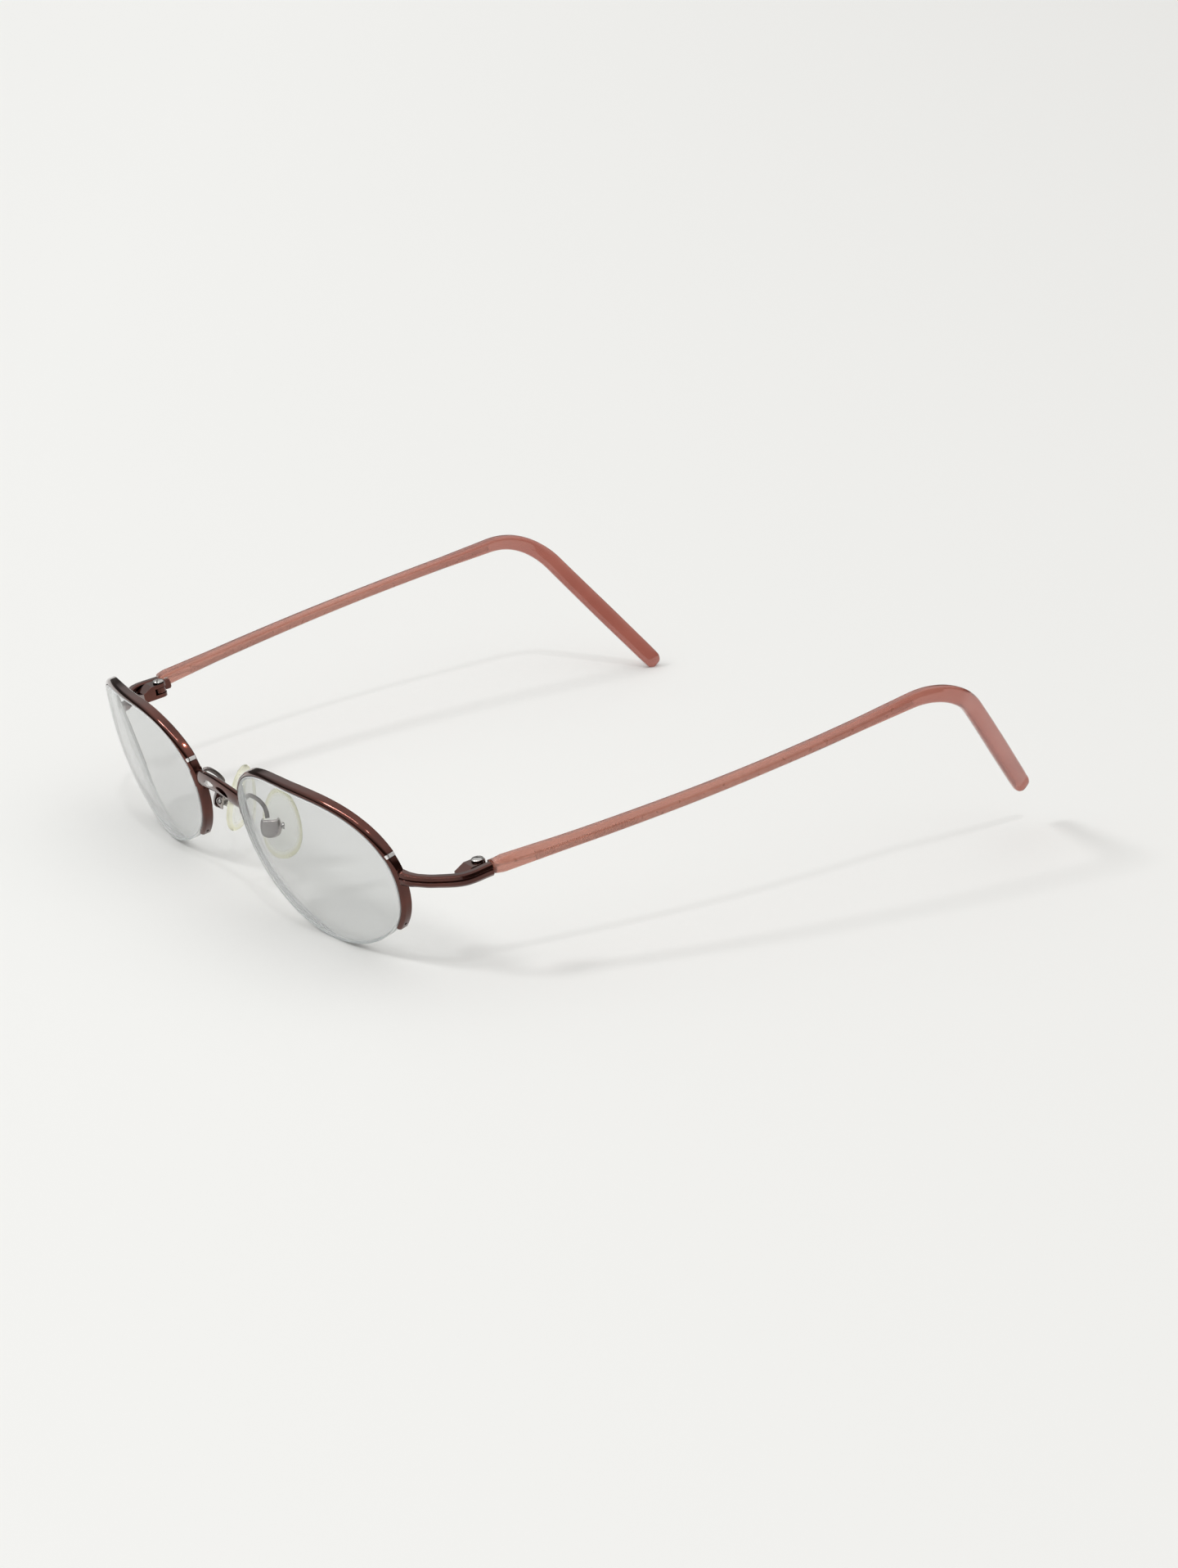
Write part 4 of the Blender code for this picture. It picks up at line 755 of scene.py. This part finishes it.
face_x, face_y, face_z = rim_face(*ENDPIECE_ON_RIM)
root = on_rim(ENDPIECE_PLACE, LEG_HEIGHT + SEAM, GROOVE_SETBACK)
end_up = TEMPLE_SET_UP - ENDPIECE_DROP
endpiece_path = smooth_path((
    root,
    *(root + np.array((out, back, 0.0)) for out, back in ENDPIECE_SWEEP),
    at_hinge(TEMPLE_SET_OUT, -LEAF_REACH - BUTT_GAP, end_up),
    at_hinge(TEMPLE_SET_OUT, ENDPIECE_END, end_up),
), steps=12)
for word, side in SIDES:
    rings = []
    for k, centre in enumerate(endpiece_path):
        share = k / (len(endpiece_path) - 1)
        ahead = (endpiece_path[min(k + 1, len(endpiece_path) - 1)]
                 - endpiece_path[max(k - 1, 0)])
        if k == 0:
            ahead = np.array(ENDPIECE_ROOT_WAY)
        if share == 1.0:
            ahead = ALONG
        ahead = ahead / np.linalg.norm(ahead)
        outer = np.cross(ahead, AXIS)
        outer /= np.linalg.norm(outer)
        up = np.cross(outer, ahead)
        tall = np.interp(share, ENDPIECE_HEIGHT_AT, ENDPIECE_HEIGHTS)
        ring = []
        for across, upright in ENDPIECE_PROFILE:
            point = centre + across * ENDPIECE_THICKNESS * outer + upright * tall * up
            if k == 0:
                lean = LEAN * (point[1] - np.interp(point[2], face_z, face_y))
                point[0] = np.interp(point[2], face_z, face_x) + lean
            ring.append(mirrored(point, side))
        rings.append(ring)
    endpiece = piece(f"swept_endpiece_{word}", skin(rings), (plated_metal,), sharp=24.0)
    soften(endpiece, ENDPIECE_SOFTENING, 3, angle=18.0)
    fit(endpiece, "front", f"endpiece_{word}")

# Hinges
# Each front leaf pair is brazed to the inside of the endpiece, and the tongue between them
# belongs to the temple. Both are milled from the same metal and plated with the rest.
LEAF_SOFTENING = 0.00009
for word, side in SIDES:
    for node in (f"hinge_front_{word}", f"hinge_tongue_{word}"):
        leaf = frame["nodes"][node]
        leaf.data.materials.clear()
        leaf.data.materials.append(plated_metal)
        soften(leaf, LEAF_SOFTENING, 2, weld=True)

# Hinge screws
# Turned silver screws with a low domed and slotted head. One goes down through both leaves of
# each hinge and through the tongue between them, and the temple folds about it.
HINGE_SCREW_DIAMETER = 0.0010
HINGE_SCREW_HEAD = 0.0023
HINGE_SCREW_HEAD_HEIGHT = 0.0005
SCREW_LEAD = 0.0001
SCREW_POINT = 0.85
HEAD_EDGE = 0.00008
HEAD_UNDERSIDE = 0.94
DOME_START = 0.35
DOME_TURN = np.linspace(0.2, 1.2, 8)
SLOT_WIDTH = 0.00035
SLOT_DEPTH = 0.00028
SLOT_REACH = 0.003
HINGE_SLOT_WAY = (0.8, 0.6, 0.0)
SCREW_SOFTENING = 0.00003
RUN_GAP = 0.00012
TONGUE_THICKNESS = 0.0011
LEAF_THICKNESS = 0.0008
LEAF_TOP = TONGUE_THICKNESS / 2 + RUN_GAP + LEAF_THICKNESS
silver = mixed_finish(
    "silver_screw_metal", {"Metallic": 1.0}, ((0.38, 0.37, 0.36), (0.56, 0.55, 0.54)),
    grain=(1500.0, 2.0), roughness=(0.18, 0.34), fine=(1500.0, 2.0))


def slotted_screw(spot, axis, profile, head_top, slot_way, sides):
    """A screw turned round an axis from (along, radius) points, with a slot in its head."""
    rings = [circle(spot + along * axis, axis, radius, sides) for along, radius in profile]
    screw = piece("screw", skin(rings), (silver,), sharp=40.0)
    slot_way = np.array(slot_way)
    slot_way -= axis * (slot_way @ axis)
    slot_way /= np.linalg.norm(slot_way)
    beside = np.cross(axis, slot_way)
    corners = [(a * SLOT_REACH, b * SLOT_WIDTH / 2) for a, b in ((-1, -1), (1, -1), (1, 1), (-1, 1))]
    cut(screw, skin([
        [spot + level * axis + a * slot_way + b * beside for a, b in corners]
        for level in (head_top - SLOT_DEPTH, head_top + SLOT_REACH)
    ]))
    soften(screw, SCREW_SOFTENING, 2)
    return screw


for word, side in SIDES:
    base = LEAF_TOP + RUN_GAP
    shank, head = HINGE_SCREW_DIAMETER / 2, HINGE_SCREW_HEAD / 2
    profile = [(-LEAF_TOP, shank * SCREW_POINT), (-LEAF_TOP + SCREW_LEAD, shank), (base, shank)]
    profile += [(base, head * HEAD_UNDERSIDE), (base + HEAD_EDGE, head)]
    for t in DOME_TURN:
        raised = DOME_START + (1 - DOME_START) * math.sin(t) / math.sin(DOME_TURN[-1])
        profile.append((base + HINGE_SCREW_HEAD_HEIGHT * raised,
                        head * math.cos(t) / math.cos(DOME_TURN[0])))
    screw = slotted_screw(mirrored(HINGE_POINT, side), AXIS, profile,
                          base + HINGE_SCREW_HEAD_HEIGHT, mirrored(HINGE_SLOT_WAY, side), sides=32)
    screw.name = f"slotted_hinge_screw_{word}"
    fit(screw, "front", f"hinge_screw_{word}")

# Pad arms
# Springy wires of dark plated metal, brazed to the backs of the rims. Each is bent back,
# outwards and down on to the top of its pad box.
ARM_DIAMETER = 0.00095
ARM_PLACE = math.radians(162.3)
ARM_LOOP_DROP = 0.0010
ARM_SPRING = 0.0010
ARM_LOOP_OUT = 0.0088
ARM_LOOP_BACK = 0.0084
ARM_LOOP_RADIUS = 0.0010
ARM_OFF_RIM = np.array((-0.3, 1.0, 0.1))
ARM_INTO_LOOP = np.array((0.0, -0.6, -0.1))
ARM_OUT_OF_LOOP = np.array((-0.1, 0.5, -1.6))
ARM_OVER_BOX = np.array((-0.3, 0.0, 0.0))
ARM_ABOVE_BOX = 1.2
ARM_ROOT_OUT = 0.55
ARM_ROOT_SINK = 0.2
ARM_SLIMNESS = 0.9
BRAZE_SWELLING = 0.15
BRAZE_RUN = 3.0
PAD_PIVOT = joint_spot["nose_pad_rock_left"]
PAD_SPLAY = math.radians(28.0)
PAD_FLARE = math.radians(12.0)
PAD_LUG_HEIGHT = 0.0019
BOX_DEPTH = 0.0024
BOX_FRONT = 0.0007
BOX_TOP = 0.0016
PAD_IN = np.array((
    -math.cos(PAD_SPLAY) * math.cos(PAD_FLARE),
    math.sin(PAD_SPLAY) * math.cos(PAD_FLARE),
    -math.sin(PAD_FLARE),
))
PAD_BACK = np.array((math.sin(PAD_SPLAY), math.cos(PAD_SPLAY), 0.0))
PAD_UP = np.cross(PAD_BACK, PAD_IN)
WEB = BOX_DEPTH - BOX_FRONT - PAD_LUG_HEIGHT / 2 - 2 * RUN_GAP


def at_pad(inward, back, up):
    """A point in the nose pad's frame, from the pad's rocking axis."""
    return PAD_PIVOT + inward * PAD_IN + back * PAD_BACK + up * PAD_UP


gunmetal = mixed_finish(
    "polished_gunmetal", {"Metallic": 1.0}, ((0.13, 0.112, 0.108), (0.22, 0.195, 0.19)),
    grain=(300.0,), roughness=(0.14, 0.26), fine=(1100.0,))
radius = ARM_DIAMETER / 2
start = on_rim(ARM_PLACE, LEG_HEIGHT * ARM_ROOT_OUT, RIM_BACK)
start += BACKWARD * (SEAM + radius * ARM_ROOT_SINK)
end = at_pad(BOX_FRONT - BOX_DEPTH + WEB / 2 + radius, -radius, BOX_TOP + SEAM)
loop_top = np.array((ARM_LOOP_OUT, FRONT_Y + ARM_LOOP_BACK, start[2] - ARM_LOOP_DROP))
arm_path = smooth_path((
    start,
    start + ARM_SPRING * ARM_OFF_RIM,
    loop_top + ARM_LOOP_RADIUS * ARM_INTO_LOOP,
    loop_top + ARM_LOOP_RADIUS * ARM_OUT_OF_LOOP,
    end + ARM_SPRING * (ARM_ABOVE_BOX * PAD_UP + ARM_OVER_BOX),
    end,
), steps=14)
for word, side in SIDES:
    radii = [radius * (ARM_SLIMNESS + BRAZE_SWELLING * math.exp(-k / BRAZE_RUN))
             for k in range(len(arm_path))]
    wire = tube([mirrored(p, side) for p in arm_path], radii, sides=24)
    fit(piece(f"bent_pad_arm_{word}", wire, (gunmetal,)), "front", f"pad_arm_{word}")

# Pad boxes
# Small round-bottomed cups of polished metal, brazed under the ends of the arms. Each takes
# the lug of its pad, and the pad screw goes through both of its cheeks.
CUP_VOXEL = 0.00009
CUP_SMOOTHING = 22
cup_metal = mixed_finish(
    "polished_cup_metal", {"Metallic": 1.0}, ((0.30, 0.27, 0.26), (0.48, 0.44, 0.43)),
    grain=(300.0,), roughness=(0.12, 0.22), fine=(1100.0,))
for word, side in SIDES:
    cup = frame["nodes"][f"pad_box_{word}"]
    cup.data.materials.clear()
    cup.data.materials.append(cup_metal)
    cup.modifiers.new("weld", "WELD").merge_threshold = WELD_DISTANCE
    rounded = cup.modifiers.new("remesh", "REMESH")
    rounded.mode = "VOXEL"
    rounded.voxel_size = CUP_VOXEL
    rounded.use_smooth_shade = True
    cup.modifiers.new("smooth", "SMOOTH").iterations = CUP_SMOOTHING

# Pad screws
# Small silver screws with flat slotted heads, turned from the same metal as the hinge's. Each
# is put in from behind, through the cup and the pad's lug.
PAD_SCREW_DIAMETER = 0.0008
PAD_SCREW_HEAD = 0.0014
PAD_SCREW_HEAD_HEIGHT = 0.0004
PAD_SCREW_POINT = 0.8
PAD_SCREW_CHAMFER = 0.00012
PAD_SLOT_WAY = (0.2, 0.0, 1.0)
PAD_LUG_WIDTH = 0.0022
BOX_CHEEK = 0.0008
BOX_WIDTH = PAD_LUG_WIDTH + 2 * (RUN_GAP + BOX_CHEEK)
for word, side in SIDES:
    point = -BOX_WIDTH / 2
    seat_at = BOX_WIDTH / 2 + RUN_GAP
    top = seat_at + PAD_SCREW_HEAD_HEIGHT
    shank, head = PAD_SCREW_DIAMETER / 2, PAD_SCREW_HEAD / 2
    profile = (
        (point, shank * PAD_SCREW_POINT), (point + SCREW_LEAD, shank), (seat_at, shank),
        (seat_at, head), (top - PAD_SCREW_CHAMFER, head), (top, head - PAD_SCREW_CHAMFER),
    )
    screw = slotted_screw(mirrored(PAD_PIVOT, side), mirrored(PAD_BACK, side), profile, top,
                          PAD_SLOT_WAY, sides=24)
    screw.name = f"slotted_pad_screw_{word}"
    fit(screw, "front", f"pad_screw_{word}")

# Nose pads
# Soft clear mouldings with a crowned face and a rounded rim, of a faintly yellow silicone. Yellower
# bands towards their edges are painted light, for the light gathered inside the curved rim. A lug
# on the back sits in the cup and rocks about the pad screw.
PAD_HEIGHT = 0.0140
PAD_WIDTH = 0.0074
PAD_THICKNESS = 0.0018
PAD_BACKSET = 0.0019
PAD_RAISE = 0.0003
PAD_TAPER = 0.20
PAD_STANDOFF = 0.00135
PAD_ROUND = 72
PAD_SQUARENESS = 2.2
PAD_CROWNING = 0.35
PAD_TURN = np.linspace(0.10, math.pi - 0.10, 15)
LUG_ROOT = PAD_STANDOFF + 0.5 * PAD_THICKNESS
PAINTED_EDGE_LIGHT = (
    ("faintly_yellowed_silicone", 0.93, (0.96, 0.96, 0.88), (0.98, 0.98, 0.92)),
    ("yellowed_silicone_rim", 0.8, (0.92, 0.91, 0.70), (0.95, 0.94, 0.80)),
)
# From which ring of the pad to which ring each finish with painted edge light reaches.
PAINTED_EDGE_LIGHT_BANDS = ((2, 12, 1), (3, 11, 2))
pad_finishes = [mixed_finish(
    "clear_soft_silicone", {"Transmission Weight": 0.9, "IOR": 1.12},
    ((0.95, 0.955, 0.92), (0.98, 0.98, 0.96)),
    grain=(220.0,), roughness=(0.08, 0.18), fine=(900.0,))]
# The yellower, cloudier finishes are painted edge light for the light gathered inside the rim.
for name, clearness, *colors in PAINTED_EDGE_LIGHT:
    pad_finishes.append(mixed_finish(
        name, {"Transmission Weight": clearness, "IOR": 1.2}, colors,
        grain=(260.0,), roughness=(0.25, 0.40), fine=(900.0,)))
for word, side in SIDES:
    rings = []
    for t in PAD_TURN:
        inward = PAD_STANDOFF + PAD_THICKNESS * (1 - math.cos(t)) / 2
        share = math.sin(t) ** PAD_CROWNING
        ring = []
        for k in range(PAD_ROUND):
            turned = 2 * math.pi * k / PAD_ROUND
            back, up = superellipse(turned, PAD_WIDTH / 2, PAD_HEIGHT / 2, PAD_SQUARENESS)
            narrow = 1 - PAD_TAPER * up / (PAD_HEIGHT / 2)
            point = at_pad(inward, PAD_BACKSET + share * back * narrow, PAD_RAISE + share * up)
            ring.append(mirrored(point, side))
        rings.append(ring)
    poles = [mirrored(at_pad(inward, PAD_BACKSET, PAD_RAISE), side)
             for inward in (PAD_STANDOFF, PAD_STANDOFF + PAD_THICKNESS)]
    shape = skin(rings, poles)
    shape.faces.ensure_lookup_table()
    # The bands near the pad's rim take the finishes with painted edge light.
    for first, last, place in PAINTED_EDGE_LIGHT_BANDS:
        for face in shape.faces[first * PAD_ROUND:last * PAD_ROUND]:
            face.material_index = place
    pad = piece(f"soft_nose_pad_{word}", shape, pad_finishes)
    lug_round = PAD_LUG_HEIGHT / 2
    lug = [(LUG_ROOT, lug_round)]
    lug += [(-lug_round * math.sin(t), lug_round * math.cos(t)) for t in np.linspace(0, math.pi, 17)]
    lug.append((LUG_ROOT, -lug_round))
    cut(pad, skin([
        [mirrored(at_pad(inward, back, up), side) for inward, up in lug]
        for back in (-PAD_LUG_WIDTH / 2, PAD_LUG_WIDTH / 2)
    ]), "UNION")
    bore_ends = [mirrored(at_pad(0.0, back, 0.0), side) for back in (-PAD_LUG_WIDTH, PAD_LUG_WIDTH)]
    cut(pad, round_bar(*bore_ends, PAD_SCREW_DIAMETER / 2 + RUN_GAP / 2))
    fit(pad, f"nose_pad_{word}", f"nose_pad_{word}")

# Temples
# Moulded from glossy translucent rose-brown plastic round a wire core. A slim straight bar
# flares into the flattened drop behind the ear. The left one is set a few degrees higher.
TEMPLE_BAR_LENGTH = 0.0958
TEMPLE_BAR_SAG = 0.0002
TEMPLE_DROP_ANGLE = math.radians(51.8)
TEMPLE_DROP_LENGTH = 0.0408
TEMPLE_BEND_RADIUS = 0.0168
LEFT_TEMPLE_LIFT = math.radians(3.55)
TEMPLE_SQUARENESS = 3.0
TEMPLE_SIDES = 40
TIP_ROUNDING = 0.0018
TIP_END = 0.45
TEMPLE_FRONT = ENDPIECE_END + BUTT_GAP
TEMPLE_HEAD = 0.004
CREASE_LEVEL = 0.06
SHOULDER_AT = (0.0, 0.03, 0.55, 0.72)
SHOULDERS = (0.2, 0.62, 0.62, 0.25)
DEEPENING_FROM = FRONT_Y + 0.070
DEEPENING_TO = FRONT_Y + 0.125
TEMPLE_PLAN = (
    (0.0, 0.0), (0.0219, 0.0045), (0.0425, 0.0077), (0.0631, 0.0095),
    (0.0837, 0.0102), (0.0938, 0.0104), (0.1002, 0.0085), (0.1159, -0.0023),
)
TEMPLE_SECTIONS = (
    (0.0, 0.0026, 0.0020), (0.013, 0.0032, 0.0024), (0.03, 0.0031, 0.0024),
    (0.10, 0.0027, 0.0024), (0.40, 0.0024, 0.0022), (0.55, 0.0025, 0.0022),
    (0.66, 0.0031, 0.0022), (0.76, 0.0037, 0.0021), (0.88, 0.0039, 0.0020),
    (0.97, 0.0038, 0.0019), (1.0, 0.0036, 0.0018),
)
TEMPLE_TURN = TEMPLE_PITCH + TEMPLE_DROP_ANGLE
TEMPLE_RUN = (TEMPLE_BAR_LENGTH + TEMPLE_DROP_LENGTH
              + TEMPLE_BEND_RADIUS * (TEMPLE_TURN - 2 * math.tan(TEMPLE_TURN / 2)))
PLAN_CURVE = np.array(smooth_path(TEMPLE_PLAN, 12))


def side_view(run):
    """Back and up from the temple's front, in its side view, at a distance along it."""
    bar = TEMPLE_BAR_LENGTH - TEMPLE_BEND_RADIUS * math.tan(TEMPLE_TURN / 2)
    arc = TEMPLE_BEND_RADIUS * TEMPLE_TURN
    if run <= bar:
        return run, -TEMPLE_BAR_SAG * math.sin(math.pi * run / bar)
    if run <= bar + arc:
        swept = (run - bar) / TEMPLE_BEND_RADIUS
        return (bar + TEMPLE_BEND_RADIUS * math.sin(swept),
                TEMPLE_BEND_RADIUS * (math.cos(swept) - 1))
    rest = run - bar - arc
    return (bar + TEMPLE_BEND_RADIUS * math.sin(TEMPLE_TURN) + rest * math.cos(TEMPLE_TURN),
            TEMPLE_BEND_RADIUS * (math.cos(TEMPLE_TURN) - 1) - rest * math.sin(TEMPLE_TURN))


def temple_line(run):
    """A point of the temple's centreline at a distance from its front."""
    back, up = side_view(run)
    bow = np.interp(back, PLAN_CURVE[:, 0], PLAN_CURVE[:, 1])
    return at_hinge(TEMPLE_SET_OUT + bow, TEMPLE_FRONT + back, TEMPLE_SET_UP + up)


def lifted(point, lift):
    """Turns a temple point upwards about the temple's front end."""
    start = at_hinge(0.0, TEMPLE_FRONT, TEMPLE_SET_UP)
    y, z = point[1] - start[1], point[2] - start[2]
    c, s = math.cos(lift), math.sin(lift)
    return np.array((point[0], start[1] + c * y - s * z, start[2] + s * y + c * z))


rose, tree, shader = new_material("rose_brown_plastic")
shader.inputs["Transmission Weight"].default_value = 0.75
shader.inputs["IOR"].default_value = 1.49
shader.inputs["Coat Weight"].default_value = 0.5
shader.inputs["Coat Roughness"].default_value = 0.04
where = tree.nodes.new("ShaderNodeTexCoord")
split = tree.nodes.new("ShaderNodeSeparateXYZ")
deepening = tree.nodes.new("ShaderNodeMapRange")
deepening.inputs["From Min"].default_value = DEEPENING_FROM
deepening.inputs["From Max"].default_value = DEEPENING_TO
tree.links.new(where.outputs["Object"], split.inputs["Vector"])
tree.links.new(split.outputs["Y"], deepening.inputs["Value"])
flow = speckle(tree, 90.0, 3.0, (1.0, 0.18, 1.0))
body_color = tree.nodes.new("ShaderNodeMix")
body_color.data_type = "RGBA"
tree.links.new(deepening.outputs["Result"], body_color.inputs["Factor"])
tree.links.new(blend_color(tree, flow, (0.58, 0.255, 0.19), (0.67, 0.315, 0.24)),
               body_color.inputs["A"])
tree.links.new(blend_color(tree, flow, (0.44, 0.14, 0.105), (0.55, 0.20, 0.155)),
               body_color.inputs["B"])
tree.links.new(body_color.outputs["Result"], shader.inputs["Base Color"])
tree.links.new(spread_value(tree, speckle(tree, 600.0), 0.06, 0.12), shader.inputs["Roughness"])


def temple_section(wide, tall, shoulder):
    """Squarish section whose outer side leans in above a fine crease, as far as shoulder says."""
    ring = []
    for k in range(TEMPLE_SIDES):
        turned = 2 * math.pi * (k + 0.5) / TEMPLE_SIDES
        a, b = superellipse(turned, wide / 2, tall / 2, TEMPLE_SQUARENESS)
        above = max(0.0, b / tall - CREASE_LEVEL)
        ring.append((min(a, wide * (0.5 - shoulder * above)), b))
    return ring


runs = np.concatenate((
    np.linspace(0.0, TEMPLE_HEAD, 9)[:-1],
    np.linspace(TEMPLE_HEAD, TEMPLE_RUN - TIP_ROUNDING, 150)[:-1],
    TEMPLE_RUN - TIP_ROUNDING * np.linspace(1.0, 0.0, 12) ** 2,
))
section_share, section_height, section_width = np.array(TEMPLE_SECTIONS).T
for word, side in SIDES:
    lift = LEFT_TEMPLE_LIFT if side > 0 else 0.0
    rings = []
    for run in runs:
        centre = temple_line(run)
        ahead = temple_line(run + NUDGE) - temple_line(max(run - NUDGE, 0.0))
        ahead /= np.linalg.norm(ahead)
        if run == 0.0:
            ahead = ALONG
        up = np.cross((1.0, 0.0, 0.0), ahead)
        up /= np.linalg.norm(up)
        outer = np.cross(ahead, up)
        share = run / TEMPLE_RUN
        into_tip = max(0.0, 1 - (TEMPLE_RUN - run) / TIP_ROUNDING)
        rounding = 1 - (1 - TIP_END) * (1 - math.sqrt(1 - into_tip**2))
        tall = rounding * np.interp(share, section_share, section_height)
        wide = rounding * np.interp(share, section_share, section_width)
        shoulder = np.interp(share, SHOULDER_AT, SHOULDERS)
        rings.append([centre + a * outer + b * up
                      for a, b in temple_section(wide, tall, shoulder)])
    shape = skin(rings)
    opened = bmesh.ops.bisect_plane(
        shape, geom=[*shape.verts, *shape.edges, *shape.faces], dist=1e-7,
        plane_co=(0.0, 0.0, 0.0), plane_no=(0.0, 0.0, 1.0), clear_inner=True)
    bmesh.ops.holes_fill(
        shape, edges=[e for e in opened["geom_cut"] if isinstance(e, bmesh.types.BMEdge)])
    for vert in shape.verts:
        vert.co = Vector(mirrored(lifted(np.array(vert.co), lift), side))
    temple = piece(f"moulded_temple_{word}", shape, (rose,), sharp=50.0)
    fit(temple, f"temple_{word}", f"temple_{word}")

# Wire cores
# Plain drawn wire brazed to the hinge's tail and moulded into the plastic, where it shows.
# Its front stretch is knurled with fine ribs that key it into the plastic.
CORE_DIAMETER = 0.00105
CORE_FOOT = 0.00115
CORE_BEND = 0.0009
CORE_BEND_TURN = np.radians((15.0, 30.0, 45.0, 60.0, 75.0))
CORE_INSET = 0.0001
CORE_LENGTH = 0.086
RIBS_FROM = 0.0087
RIBS_TO = 0.0275
RIB_PITCH = 0.00033
RIB_POINTS = 4
RIB_DEPTH = 0.22
CORE_SINK = 0.00055
CORE_SINK_AT = (CORE_FOOT + CORE_BEND, RIBS_FROM, CORE_LENGTH)
CORE_SINK_SHARES = (0.0, 1.0, 0.6)
HEAD_LENGTH = 0.0009
HEAD_SWELLING = 1.45
FRONT_THINNING = 0.55
HEAD_RUNS = RIBS_FROM - HEAD_LENGTH * np.linspace(0.98, 0.0, 6)
TAIL_OUTER = TEMPLE_SET_OUT - max(width for _, _, width in TEMPLE_SECTIONS) / 2 - SEAM
# The wire's pale metal is real; its near-white diffuse share is a painted sheen for the shine it has
# inside the plastic.
core_wire_painted_sheen = mixed_finish(
    "bright_core_wire", {"Metallic": 0.35}, ((0.86, 0.80, 0.77), (0.97, 0.93, 0.91)),
    grain=(800.0,), roughness=(0.25, 0.4), fine=(900.0,))
for word, side in SIDES:
    lift = LEFT_TEMPLE_LIFT if side > 0 else 0.0
    middle = temple_line(CORE_FOOT)
    path = [np.array((HINGE_POINT[0] + TAIL_OUTER + SEAM + CORE_INSET, middle[1], middle[2]))]
    path.append(middle + np.array((-CORE_BEND, 0.0, 0.0)))
    for t in CORE_BEND_TURN:
        ahead = temple_line(CORE_FOOT + CORE_BEND * (1 - math.cos(t)))
        path.append(ahead + np.array((-CORE_BEND * (1 - math.sin(t)), 0.0, 0.0)))
    radii = [CORE_DIAMETER / 2 * f for f in np.linspace(1.0, FRONT_THINNING, len(path))]
    spots = np.concatenate((
        np.linspace(CORE_FOOT + CORE_BEND, RIBS_FROM - HEAD_LENGTH, 8), HEAD_RUNS,
        np.arange(RIBS_FROM + RIB_PITCH, RIBS_TO, RIB_PITCH / RIB_POINTS),
        np.linspace(RIBS_TO, CORE_LENGTH, 50)))
    for k, run in enumerate(spots):
        sink = CORE_SINK * np.interp(run, CORE_SINK_AT, CORE_SINK_SHARES)
        path.append(temple_line(run) - sink * AXIS)
        ribbed = RIBS_FROM < run < RIBS_TO and k % RIB_POINTS < RIB_POINTS / 2
        thick = 1.0 - (RIB_DEPTH if ribbed else 0.0)
        if run < RIBS_FROM:
            thick = FRONT_THINNING
        if RIBS_FROM - HEAD_LENGTH < run <= RIBS_FROM:
            thick = HEAD_SWELLING
        radii.append(CORE_DIAMETER / 2 * thick)
    wire = tube([mirrored(lifted(p, lift), side) for p in path], radii, sides=16)
    core = piece(f"knurled_core_{word}", wire, (core_wire_painted_sheen,), sharp=50.0)
    fit(core, f"temple_{word}", f"temple_core_{word}")
